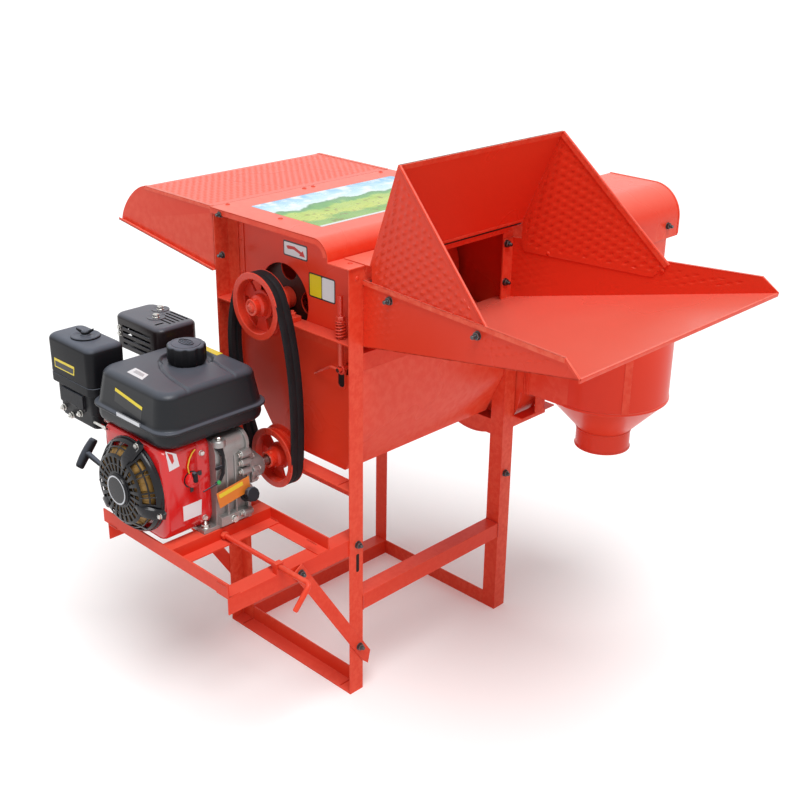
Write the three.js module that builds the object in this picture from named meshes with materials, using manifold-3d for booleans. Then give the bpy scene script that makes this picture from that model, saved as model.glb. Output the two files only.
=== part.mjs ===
// Petrol-driven threshing machine with feed tray, cyclone grain outlet and straw hood.
// Millimetres, +Z up, +X towards the feed tray, +Y along the threshing drum away from the engine.
import * as THREE from 'three';
import { mergeVertices } from 'three/addons/utils/BufferGeometryUtils.js';
import Module from 'manifold-3d';

const wasm = await Module();
wasm.setup();

// Stand
const frameLength = 440;
const frameWidth = 554;
const frontLegHeight = 1030;
const coverStep = 47;
const angleWidth = 40;
const angleThickness = 3;
const sheet = 2;
const fit = 0.3;
const overrun = 5;
const midRailHeight = 215;
const trayRailTop = 840;
const bearingRailTop = 868;
const lowerRailTop = 532;

// Engine platform
const platformHeight = 410;
const platformReach = 334;
const platformIron = 32;
const platformStandoff = 59;
const platformOverhang = 12;
const engineCentreX = 150;
const engineRailWidth = 35;
const braceWidth = 30;
const braceTopReach = 146;
const braceTopDrop = 18;
const braceFootHeight = 124;
const braceFootReach = 26;
const braceEndMargin = 16;
const braceShoulderReach = 42;
const braceTipReach = 66;
const braceTipShare = -0.6;
const braceSpacerRadius = 9;

// Tension screw
const screwRadius = 6;
const screwRise = 16;
const screwOffset = 197;
const screwTipReach = 96;
const screwHandleLength = 64;
const screwHandleSlopeShares = [-0.66, -0.75];
const nutRadius = 9.3;
const nutLength = 11;
const lugLength = 14;

// Threshing body
const coverThickness = 3;
const coverOverhang = 4;
const coverFold = 14;
const coverFlatMargin = 100;
const coverArcRadius = 41;
const drumHoleRadius = 80;
const shaftX = 190;
const bearingHeight = 33;
const drumRadius = 104;
const drumWall = 3;
const drumEndGap = 14;
const drumDiscHoleRadius = 26;
const drumDiscHoleShare = 0.62;
const shaftCollarRadius = 24;
const farHoleRadius = 88;
const toothLength = 40;
const toothRadius = 6;
const toothRows = 6;
const teethPerRow = 7;
const toothStaggerShares = [0.3, 0.7];
const shaftRadius = 12.5;
const concaveRadius = 160;
const concaveRib = 10;
const concaveRodRadius = 4;
const concaveRodCount = 13;
const concaveSpanDegrees = 130;
const concaveRibCount = 3;
const crossRodInset = 45;
const crossRodDrop = 102;
const crossRodRadius = 5;
const crossRodTravel = 14;
const concavePivotRadius = 6;
const eyeClearance = 1.9;
const floatRodRadius = 6;
const floatRodReach = 94;
const floatRodY = 18;
const floatEyeRadius = 12;
const floatNutLength = 12;
const springOuterRadius = 12;
const springWire = 3.6;
const springHeight = 38;
const springTurns = 5;
const springSidesPerTurn = 8;
const springSides = 5;

// Collecting hopper and discharge hood
const hopperLift = 18;
const hopperRearReach = 350;
const hopperRearRise = 200;
const hopperFrontRise = 110;
const hopperBottomRear = 160;
const hopperFrontInset = 57;
const dischargeTopReach = 262;
const dischargeReach = 366;
const dischargeTipDrop = 99;
const dischargeDrop = 146;
const dischargeLip = 9;
const dischargeArcSteps = 6;

// Feed tray and hood
const trayFloorLift = 18;
const trayWallHeight = 143;
const trayLength = 615;
const trayRise = 135;
const trayWallSetback = 36;
const trayWallFrontRise = 27;
const traySplay = 95;
const trayTongue = 38;
const trayFlange = 34;
const trayRim = 4;
const hoodApexReach = 113;
const hoodRise = 226;
const hoodFootReach = 380;
const hoodFootRise = 7;
const hoodRearReach = 22;
const hoodLap = 34;

// Drive
const drumPulleyRadius = 75;
const enginePulleyRadius = 70;
const pulleyFront = -44;
const pulleyWidth = 36;
const pulleyWall = 3;
const grooveDepth = 11;
const grooveTopHalf = 7.2;
const grooveBottomHalf = 4;
const pulleyRimDepth = 17;
const pulleyWebThickness = 8;
const pulleyWindows = 3;
const pulleyWindowDegrees = 34;
const pulleyWindowShares = [0.42, 0.72];
const pulleyHubRadius = 20;
const drumHubReach = 10;
const engineHubReach = 14;
const beltThickness = 8;
const beltTopHalf = 6;
const beltBottomHalf = 3.6;
const beltSink = 1;
const beltArcSteps = 16;
const beltRunSteps = 7;
const beltFrontSlack = 30;
const beltRearSlack = 14;
const fanBeltSlack = 3;
const pulleySegments = 32;

// Engine
const crankOffset = -26;
const crankAboveBase = 113;
const footThickness = 10;
const footReach = 34;
const footHoleSpacing = 162;
const footMargin = 12;
const blockFar = -123;
const blockDepth = 88;
const blockReach = 100;
const blockCorner = 24;
const blockBackReach = 56;
const shroudDepth = 120;
const shroudRadius = 108;
const shroudIntakeRadius = 80;
const shroudCorner = 20;
const shroudFootRadius = 36;
const recoilDepth = 46;
const recoilRadius = 106;
const recoilFrontRadius = 78;
const recoilRimDepth = 14;
const recoilHubRadius = 34;
const recoilHubDepth = 5;
const recoilWall = 4;
const outputReach = 108;
const outputRadius = 10;
const caseDepth = 44;
const caseCrankRadius = 52;
const caseOutputRadius = 30;
const outputDepthInCase = 22;
const cylinderTiltDegrees = 12;
const cylinderReach = 150;
const cylinderHalf = 50;
const elbowHalf = 26;
const elbowReach = 60;
const tankBottom = 220;
const tankHeight = 122;
const tankBackX = -156;
const tankFrontX = 128;
const tankNearY = -338;
const tankFarY = -50;
const tankCorner = 44;
const tankCrown = 28;
const tankCrownSteps = 3;
const tankFlange = 7;
const tankFlangeHeight = 37;
const tankWall = 3;
const capRadius = 43;
const capNeckRadius = 26;
const capHeight = 44;
const capRecess = 8;
const capRecessRadius = 52;
const capX = -36;
const capY = -154;
const cleanerBackX = -338;
const cleanerFrontX = -164;
const cleanerNearY = -320;
const cleanerFarY = -224;
const cleanerBottom = 252;
const cleanerTop = 364;
const cleanerCorner = 18;
const cleanerCrown = 12;
const cleanerInletHeight = 16;
const cleanerFootInset = 9;
const cleanerFootHeight = 86;
const cleanerKnobRadius = 26;
const cleanerKnobHeight = 5;
const wingNutRadius = 9;
const wingNutHeight = 16;
const carburettorHalf = 24;
const mufflerBackX = -340;
const mufflerFrontX = -160;
const mufflerNearY = -140;
const mufflerFarY = -28;
const mufflerBottom = 286;
const mufflerTop = 367;
const mufflerCorner = 22;
const mufflerCrown = 10;
const mufflerPortRadius = 8;
const shellWall = 2;
const switchRadius = 16;
const switchLength = 14;
const switchPegShares = [0.3, 1.3];
const switchHeight = 138;
const switchY = -263;
const handleLength = 70;
const handleRadius = 10;
const handleStem = 50;
const handleStemShare = 0.6;
const handleTiltDegrees = 49;
const ropeRadius = 2.2;
const ropeInside = 64;
const ropeLift = 4;
const leverLength = 42;
const leverWidth = 9;
const leverThickness = 3;

// Blower and cyclone
const fanInset = 140;
const fanX = frameLength - fanInset;
const fanHeight = 612;
const fanWidth = 84;
const voluteRadius = 150;
const impellerRadius = 112;
const impellerWidth = 66;
const impellerBlades = 6;
const bladeThickness = 3;
const inletRadius = 65;
const fanShaftRadius = 10;
const fanBossRadius = 22;
const fanBossLength = 12;
const farPulleyGap = 4;
const farPulleyWidth = 20;
const farDrumPulleyRadius = 60;
const fanPulleyRadius = 45;
const ductReach = 25;
const ductDrop = 2;
const cycloneReach = 162;
const cycloneRadius = 148;
const cycloneRise = 38;
const collarRadius = 66;
const collarHeight = 49;
const coneHeight = 90;
const stackBackReach = 86;
const stackFrontReach = 95.7;
const stackNearReach = 74;
const stackFarReach = 46;
const stackHeight = 230;
const exhaustRise = 88;
const exhaustSkirt = 24;
const exhaustBackReach = 98;
const exhaustNearReach = 114;
const exhaustFarReach = 86;
const exhaustArcRadius = 72;
const bracketReach = 126;
const bracketWidth = 30;
const bracketRise = 9;
const bracketTabLength = 36;

// Places worked out from the sizes above
const coverHeight = frontLegHeight + coverStep;
const coverInside = coverHeight - coverThickness;
const coverFlatEnd = frameLength - coverFlatMargin;
const panelNearOuter = angleWidth;
const panelNearInner = angleWidth + sheet;
const panelFarOuter = frameWidth - angleWidth;
const panelFarInner = panelFarOuter - sheet;
const shaftHeight = bearingRailTop + bearingHeight;
const crossRodX = frameLength - crossRodInset;
const crossRodHeight = shaftHeight - crossRodDrop;
const floatRodTop = bearingRailTop + floatRodReach;
const hopperBottom = lowerRailTop + hopperLift;
const hopperRearTop = hopperBottom + hopperRearReach;
const hopperRearBreak = hopperBottom + hopperRearRise;
const hopperFrontBreak = hopperBottom + hopperFrontRise;
const hopperBottomFront = frameLength - hopperFrontInset;
const dischargeTipHeight = coverHeight - dischargeTipDrop;
const dischargeBottom = coverHeight - dischargeDrop;
const trayFloorHeight = trayRailTop + trayFloorLift;
const trayFrontX = frameLength + trayLength;
const trayFrontHeight = trayFloorHeight + trayRise;
const trayWallFrontX = trayFrontX - trayWallSetback;
const trayWallFrontHeight = trayFrontHeight + trayWallFrontRise;
const hoodApexX = frameLength + hoodApexReach;
const hoodApexHeight = frontLegHeight + hoodRise;
const hoodFootX = frameLength + hoodFootReach;
const hoodFootHeight = trayFloorHeight + trayWallHeight + hoodFootRise;
const hoodRearX = frameLength + hoodRearReach;
const engineBase = platformHeight + platformIron;
const screwHeight = platformHeight + screwRise;
const crankX = engineCentreX + crankOffset;
const crankHeight = engineBase + crankAboveBase;
const outputX = crankX + outputReach;
const blockNear = blockFar - blockDepth;
const shroudNear = blockNear - fit - shroudDepth;
const recoilNear = shroudNear - fit - recoilDepth;
const tankSeat = engineBase + tankBottom - fit;
const fanStart = frameWidth + sheet;
const fanEnd = fanStart + fanWidth;
const ductStart = frameLength + ductReach;
const ductBottom = fanHeight - ductDrop;
const ductTop = fanHeight + voluteRadius;
const cycloneX = frameLength + cycloneReach;
const cycloneY = fanStart + cycloneRadius;
const cycloneTop = ductTop + cycloneRise;
const stackTop = cycloneTop + stackHeight;
const exhaustTop = stackTop + exhaustRise;
const bracketTop = lowerRailTop + bracketRise;

// Materials
const paint = (color, roughness = 0.45, metalness = 0.1) =>
  new THREE.MeshStandardMaterial({ color, roughness, metalness });
const redPaint = paint(0xe2412b);
const darkRed = paint(0xc22a1c);
const engineRed = paint(0xd81e1e, 0.3);
const blackPaint = paint(0x2b2d31, 0.4);
const castAlloy = paint(0x9a958f, 0.5, 0.7);
const steel = paint(0x8d8f92, 0.35, 0.9);
const beltRubber = paint(0x1b1c1e, 0.8, 0);

// Solid helpers
function toSolid(geometry) {
  const plain = geometry.clone();
  plain.deleteAttribute('normal');
  plain.deleteAttribute('uv');
  const merged = mergeVertices(plain, 1e-4);
  const solid = new wasm.Manifold(new wasm.Mesh({
    numProp: 3,
    vertProperties: new Float32Array(merged.attributes.position.array),
    triVerts: new Uint32Array(merged.index.array),
  }));
  return solid;
}

function toGeometry(solid) {
  const mesh = solid.getMesh();
  const geometry = new THREE.BufferGeometry();
  const corners = new Float32Array(mesh.vertProperties);
  geometry.setAttribute('position', new THREE.BufferAttribute(corners, mesh.numProp));
  geometry.setIndex(new THREE.BufferAttribute(new Uint32Array(mesh.triVerts), 1));
  geometry.computeVertexNormals();
  return geometry;
}

function join(...solids) {
  return solids.flat().reduce((sum, next) => sum.add(next));
}

function cut(solid, ...tools) {
  return tools.flat().reduce((rest, tool) => rest.subtract(tool), solid);
}

function block([x0, x1], [y0, y1], [z0, z1]) {
  const geometry = new THREE.BoxGeometry(Math.abs(x1 - x0), Math.abs(y1 - y0), Math.abs(z1 - z0));
  geometry.translate((x0 + x1) / 2, (y0 + y1) / 2, (z0 + z1) / 2);
  return toSolid(geometry);
}

function outline(points) {
  return new THREE.Shape(points.map(([u, v]) => new THREE.Vector2(u, v)));
}

function drawnOut(points, depth) {
  return new THREE.ExtrudeGeometry(outline(points), { depth, bevelEnabled: false });
}

// An outline in the XZ plane, drawn out from y0 to y1
function prismY(points, y0, y1) {
  const geometry = drawnOut(points, Math.abs(y1 - y0));
  geometry.rotateX(Math.PI / 2);
  geometry.translate(0, Math.max(y0, y1), 0);
  return toSolid(geometry);
}

// An outline in the YZ plane, drawn out from x0 to x1
function prismX(points, x0, x1) {
  const geometry = drawnOut(points, Math.abs(x1 - x0));
  geometry.applyMatrix4(new THREE.Matrix4().makeBasis(
    new THREE.Vector3(0, 1, 0), new THREE.Vector3(0, 0, 1), new THREE.Vector3(1, 0, 0)));
  geometry.translate(Math.min(x0, x1), 0, 0);
  return toSolid(geometry);
}

// An outline in the XY plane, drawn out from z0 to z1
function prismZ(points, z0, z1) {
  const geometry = drawnOut(points, Math.abs(z1 - z0));
  geometry.translate(0, 0, Math.min(z0, z1));
  return toSolid(geometry);
}

function rodY(x, z, radius, y0, y1, sides = 24) {
  const geometry = new THREE.CylinderGeometry(radius, radius, Math.abs(y1 - y0), sides);
  geometry.translate(x, (y0 + y1) / 2, z);
  return toSolid(geometry);
}

function rodX(y, z, radius, x0, x1, sides = 12) {
  const geometry = new THREE.CylinderGeometry(radius, radius, Math.abs(x1 - x0), sides);
  geometry.rotateZ(Math.PI / 2);
  geometry.translate((x0 + x1) / 2, y, z);
  return toSolid(geometry);
}

function rodZ(x, y, radius, z0, z1, sides = 24, topRadius = radius) {
  const geometry = new THREE.CylinderGeometry(topRadius, radius, Math.abs(z1 - z0), sides);
  geometry.rotateX(Math.PI / 2);
  geometry.translate(x, y, (z0 + z1) / 2);
  return toSolid(geometry);
}

// A turned solid about an axis along Y; the profile holds [radius, y] pairs
function turnedY(x, z, profile, segments = pulleySegments) {
  const geometry = new THREE.LatheGeometry(profile.map(([r, y]) => new THREE.Vector2(r, y)), segments);
  const solid = toSolid(geometry);
  const placed = solid.volume() < 0 ? toSolid(flipped(geometry)) : solid;
  return placed.translate([x, 0, z]);
}

function flipped(geometry) {
  const copy = geometry.clone();
  const index = copy.index.array;
  for (let i = 0; i < index.length; i += 3) {
    [index[i], index[i + 2]] = [index[i + 2], index[i]];
  }
  return copy;
}

function tubeAlong(points, radius, sides = 10, steps = 24) {
  const corners = points.map((p) => new THREE.Vector3(...p));
  const curve = new THREE.CatmullRomCurve3(corners, false, 'centripetal');
  const ring = [];
  for (let i = 0; i < sides; i += 1) {
    const turn = (i / sides) * 2 * Math.PI;
    ring.push([radius * Math.cos(turn), radius * Math.sin(turn)]);
  }
  const options = { steps, extrudePath: curve, bevelEnabled: false };
  return toSolid(new THREE.ExtrudeGeometry(outline(ring), options));
}

function arc(x, z, radius, fromDegrees, toDegrees, steps) {
  const points = [];
  for (let i = 0; i <= steps; i += 1) {
    const turn = THREE.MathUtils.degToRad(fromDegrees + ((toDegrees - fromDegrees) * i) / steps);
    points.push([x + radius * Math.cos(turn), z + radius * Math.sin(turn)]);
  }
  return points;
}

// The far side repeats the near side across the middle of the drum
function mirrored(solid) {
  return solid.mirror([0, 1, 0]).translate([0, frameWidth, 0]);
}

const assembly = new THREE.Group();

function place(name, solid, material) {
  const mesh = new THREE.Mesh(toGeometry(solid), material);
  mesh.name = name;
  assembly.add(mesh);
}

// Stand: legs, floor bars and rails
function leg(outerX, towardX, outerY, towardY, height) {
  const flange = block(
    [outerX, outerX + towardX * angleThickness], [outerY, outerY + towardY * angleWidth], [0, height]);
  const inner = outerY + towardY * (angleWidth - angleThickness);
  const web = block(
    [outerX, outerX + towardX * angleWidth], [inner, outerY + towardY * angleWidth], [0, height]);
  return join(flange, web);
}

const rearLegHeight = coverInside - fit;

function ductBracket() {
  const end = frameWidth + bracketReach;
  const face = frameLength - angleThickness;
  const upright = block(
    [face, frameLength], [frameWidth - overrun, end], [bracketTop - bracketWidth, bracketTop]);
  const shelf = block(
    [face, face + bracketWidth], [frameWidth + fit, end], [bracketTop - angleThickness, bracketTop]);
  const tabX = face + bracketWidth;
  const tab = block([tabX - angleThickness, tabX], [fanEnd - bracketTabLength, fanEnd],
    [bracketTop - angleThickness, ductBottom - fit]);
  return [upright, shelf, tab];
}

function makeStand() {
  place('leg_a', leg(frameLength, -1, 0, 1, frontLegHeight), redPaint);
  place('leg_b', join(leg(frameLength, -1, frameWidth, -1, frontLegHeight), ductBracket()), redPaint);
  place('leg_c', leg(0, 1, frameWidth, -1, rearLegHeight), redPaint);
  place('leg_d', leg(0, 1, 0, 1, rearLegHeight), redPaint);

  const web = [angleWidth - angleThickness, angleWidth];
  const between = [angleWidth, frameLength - angleWidth];
  const inside = [angleThickness, frameLength - angleThickness];
  const floorBar = join(
    block(inside, [0, web[0]], [0, angleThickness]), block(between, web, [0, angleWidth]));
  place('floor_bar_near', floorBar, redPaint);
  place('floor_bar_far', mirrored(floorBar), redPaint);

  const across = [angleWidth, frameWidth - angleWidth];
  place('floor_bar_rear', join(
    block([0, angleWidth], across, [angleWidth - angleThickness, angleWidth]),
    block(web, across, [0, angleWidth])), redPaint);
  place('mid_rail', join(
    block([frameLength - angleThickness, frameLength], across, [midRailHeight, midRailHeight + angleWidth]),
    block([frameLength - angleWidth, frameLength], across,
      [midRailHeight + angleWidth - angleThickness, midRailHeight + angleWidth])), redPaint);

  const betweenPanels = [panelNearInner, panelFarInner];
  place('tray_rail', join(
    block([frameLength - sheet - angleThickness, frameLength - sheet], betweenPanels,
      [trayRailTop - angleWidth, trayRailTop]),
    block([frameLength - angleWidth, frameLength - sheet], betweenPanels,
      [trayRailTop - angleThickness, trayRailTop])), darkRed);

  const sideRail = (top) => join(
    block(inside, [0, web[0]], [top - angleThickness, top]),
    block(between, web, [top - angleWidth, top]));
  const rodHole = rodZ(crossRodX, floatRodY, floatRodRadius + 3 * fit,
    bearingRailTop - angleWidth, bearingRailTop + overrun);
  place('bearing_rail_near', cut(sideRail(bearingRailTop), rodHole), redPaint);
  place('bearing_rail_far', mirrored(sideRail(bearingRailTop)), redPaint);
  place('lower_rail_near', sideRail(lowerRailTop), redPaint);
  place('lower_rail_far', mirrored(sideRail(lowerRailTop)), redPaint);
}

// Engine platform, braces and tension screw
function makePlatform() {
  const top = platformHeight;
  const armY = [-platformReach, angleWidth - angleThickness - fit];
  const aFace = frameLength - angleThickness;
  const lug = block([aFace - lugLength, aFace], [-screwOffset - nutRadius, -screwOffset + nutRadius],
    [top - angleThickness, screwHeight + nutRadius]);
  const lugBore = rodX(-screwOffset, screwHeight, screwRadius + fit,
    aFace - lugLength - overrun, aFace + overrun);
  const armA = join(
    block([aFace - angleThickness, aFace], armY, [top - angleWidth, top]),
    block([aFace - angleWidth, aFace], armY, [top - angleThickness, top]), lug);
  place('platform_arm_a', cut(armA, lugBore), redPaint);
  place('platform_arm_d', join(
    block([angleThickness, 2 * angleThickness], armY, [top - angleWidth, top]),
    block([angleThickness, angleThickness + angleWidth], armY, [top - angleThickness, top])), redPaint);

  const railX = [-platformOverhang, aFace];
  const flangeZ = [top, top + angleThickness];
  const upZ = [top, top + platformIron];
  const nearY = -platformReach;
  const farY = -platformStandoff;
  place('platform_rail_near', join(
    block(railX, [nearY, nearY + platformIron], flangeZ),
    block(railX, [nearY, nearY + angleThickness], upZ)), redPaint);
  place('platform_rail_far', join(
    block(railX, [farY - platformIron, farY], flangeZ),
    block(railX, [farY - angleThickness, farY], upZ)), redPaint);

  const railY = [nearY + angleThickness + fit, farY - angleThickness - fit];
  const webOffset = footHoleSpacing / 2 + footMargin + angleThickness;
  const lowZ = [top + angleThickness, top + 2 * angleThickness];
  const railBlock = (side, from, to, zs) => block(
    [engineCentreX + side * from, engineCentreX + side * to], railY, zs);
  const engineRail = (side) => join(
    railBlock(side, webOffset - engineRailWidth, webOffset, [engineBase - angleThickness, engineBase]),
    railBlock(side, webOffset - angleThickness, webOffset, [lowZ[0], engineBase]),
    railBlock(side, webOffset - angleThickness, webOffset + platformIron - angleThickness, lowZ));
  const webX = engineCentreX + webOffset;
  const screwHole = rodX(-screwOffset, screwHeight, screwRadius + fit,
    webX - engineRailWidth, webX + overrun);
  place('engine_rail_right', cut(engineRail(1), screwHole), redPaint);
  place('engine_rail_left', engineRail(-1), redPaint);

  const outerNut = rodX(-screwOffset, screwHeight, nutRadius, webX + fit, webX + fit + nutLength, 6);
  const innerFace = webX - angleThickness - fit;
  const innerNut = rodX(-screwOffset, screwHeight, nutRadius, innerFace - nutLength, innerFace, 6);
  const bendX = frameLength + screwTipReach;
  const rod = rodX(-screwOffset, screwHeight, screwRadius, innerFace - nutLength, bendX, 12);
  const bend = [bendX - screwRadius, -screwOffset, screwHeight];
  const tip = [bend[0], bend[1] + screwHandleSlopeShares[0] * screwHandleLength,
    bend[2] + screwHandleSlopeShares[1] * screwHandleLength];
  const handle = tubeAlong([bend, tip], screwRadius, 12, 1);
  place('tension_screw', join(rod, outerNut, innerNut, handle), redPaint);

  // Braces bolted on the outside of the legs, with a spacer behind each at its arm
  const topPoint = new THREE.Vector2(-braceTopReach, top - braceTopDrop);
  const foot = new THREE.Vector2(braceFootReach, braceFootHeight);
  const along = foot.clone().sub(topPoint).normalize();
  const side = new THREE.Vector2(-along.y, along.x).multiplyScalar(braceWidth / 2);
  const corner = (from, reach, share) => {
    const point = from.clone().addScaledVector(along, reach).addScaledVector(side, share);
    return [point.x, point.y];
  };
  const corners = [
    corner(topPoint, -braceEndMargin, 1), corner(topPoint, -braceEndMargin, -1),
    corner(foot, braceShoulderReach, -1), corner(foot, braceTipReach, braceTipShare),
    corner(foot, braceShoulderReach, 1)];
  const brace = (legFace, armFace, outward) => {
    const start = legFace + outward * fit;
    const plate = prismX(corners, start, start + outward * angleThickness);
    const spacer = rodX(topPoint.x, topPoint.y, braceSpacerRadius,
      armFace + outward * fit, start + outward * sheet, 16);
    return join(plate, spacer);
  };
  place('brace_a', brace(frameLength, aFace, 1), redPaint);
  place('brace_d', brace(0, angleThickness, -1), redPaint);
}

// Side panels, cover, hopper and discharge hood
function coverCurve(radius, height) {
  return arc(coverFlatEnd, height - radius, radius, 90, 0, 6);
}

function sidePanelOutline() {
  const topLine = coverInside - fit;
  const lipLine = frontLegHeight - fit;
  const inner = coverArcRadius - coverThickness - fit;
  return [
    [angleThickness + fit, hopperRearBreak], [hopperBottomRear, hopperBottom],
    [hopperBottomFront, hopperBottom],
    [frameLength - sheet, hopperFrontBreak], [frameLength - sheet, lipLine],
    [coverFlatEnd + inner, lipLine],
    ...coverCurve(inner, topLine).reverse(), [angleThickness + fit, topLine]];
}

// The concave hangs on a rod at its rear end and on the sprung rod at its front end
function concavePivot() {
  const turn = THREE.MathUtils.degToRad(-90 - concaveSpanDegrees / 2);
  const reach = concaveRadius + concaveRib / 2;
  return [shaftX + reach * Math.cos(turn), shaftHeight + reach * Math.sin(turn)];
}

function drumHole(y0, y1) {
  return rodY(shaftX, shaftHeight, drumHoleRadius, y0, y1, 40);
}

function makeBody() {
  const y0 = panelNearOuter;
  const y1 = panelNearInner;
  const clearHole = drumHole(y0 - overrun, y1 + overrun);
  const slotHalf = crossRodRadius + sheet;
  const slot = block([crossRodX - slotHalf, crossRodX + slotHalf], [y0 - overrun, y1 + overrun],
    [crossRodHeight - slotHalf - crossRodTravel, crossRodHeight + slotHalf]);
  const flange = block([frameLength - sheet, frameLength], [y0, y0 + trayFlange],
    [trayFloorHeight + fit, frontLegHeight - fit]);
  const pivotHole = rodY(...concavePivot(), concavePivotRadius + fit, y0 - overrun, y1 + overrun, 16);
  const plate = join(prismY(sidePanelOutline(), y0, y1), flange);
  const panel = cut(plate, clearHole, slot, pivotHole);
  place('side_panel_near', panel, redPaint);
  const inlet = rodY(fanX, fanHeight, inletRadius, panelFarInner - overrun, panelFarOuter + overrun, 32);
  const farHole = rodY(shaftX, shaftHeight, farHoleRadius, panelFarInner - overrun,
    panelFarOuter + overrun, 40);
  place('side_panel_far', cut(mirrored(panel), farHole, inlet), redPaint);

  const lipTop = frontLegHeight + coverThickness;
  const outer = [
    [-overrun, coverHeight], ...coverCurve(coverArcRadius, coverHeight),
    [coverFlatEnd + coverArcRadius, lipTop], [frameLength + coverOverhang, lipTop],
    [frameLength + coverOverhang, frontLegHeight],
    [coverFlatEnd + coverArcRadius - coverThickness, frontLegHeight],
    ...coverCurve(coverArcRadius - coverThickness, coverInside).reverse(), [-overrun, coverInside]];
  const coverY = [-coverOverhang, frameWidth + coverOverhang];
  const fold = (edge, toward) => block([-overrun, coverFlatEnd], [edge, edge + toward * coverThickness],
    [coverHeight - coverFold, coverHeight]);
  place('drum_cover', join(prismY(outer, ...coverY), fold(coverY[0], 1), fold(coverY[1], -1)), redPaint);

  const rearX = angleThickness + fit;
  const frontX = frameLength - sheet - angleThickness - fit;
  const hopperOutside = [
    [rearX, hopperRearTop], [rearX, hopperRearBreak], [hopperBottomRear, hopperBottom],
    [hopperBottomFront, hopperBottom], [frontX, hopperFrontBreak],
    [frontX, trayRailTop - angleThickness - fit]];
  const inward = [[1, 0], [1, 1], [1, 1], [-1, 1], [-1, 0], [-1, 0]];
  const hopperInside = hopperOutside.map(
    ([x, z], i) => [x + sheet * inward[i][0], z + sheet * inward[i][1]]);
  place('collecting_hopper', prismY([...hopperOutside, ...hopperInside.reverse()],
    panelNearInner + fit, panelFarInner - fit), darkRed);

  const cheek = [
    [-fit, coverHeight], [-dischargeTopReach, coverHeight],
    ...dischargeCurve(), [-dischargeReach, dischargeTipHeight], [-fit, dischargeBottom]];
  const nearCheek = prismY(cheek, 0, sheet);
  const lip = prismY([[-dischargeReach, dischargeTipHeight], [-fit, dischargeBottom],
    [-fit, dischargeBottom + sheet], [-dischargeReach, dischargeTipHeight + sheet]], -dischargeLip, sheet);
  const roof = block(
    [-dischargeTopReach, -overrun - fit], [0, frameWidth], [coverHeight - sheet, coverHeight]);
  const rearFlange = block(
    [-sheet - fit, -fit], [0, angleWidth], [dischargeBottom, coverHeight - coverFold - fit]);
  const cheeks = join(nearCheek, lip, rearFlange);
  const headroomReach = coverOverhang + fit;
  const hoodHeadroom = block([-overrun - fit, overrun], [-headroomReach, frameWidth + headroomReach],
    [coverHeight - coverFold - fit, coverHeight + overrun]);
  place('discharge_hood', cut(join(cheeks, mirrored(cheeks), roof), hoodHeadroom), redPaint);
}

function dischargeCurve() {
  const points = [];
  const run = dischargeReach - dischargeTopReach;
  const drop = coverHeight - dischargeTipHeight;
  for (let i = 1; i < dischargeArcSteps; i += 1) {
    const turn = ((i / dischargeArcSteps) * Math.PI) / 2;
    points.push([-dischargeTopReach - run * Math.sin(turn), coverHeight - drop * (1 - Math.cos(turn))]);
  }
  return points;
}

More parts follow.
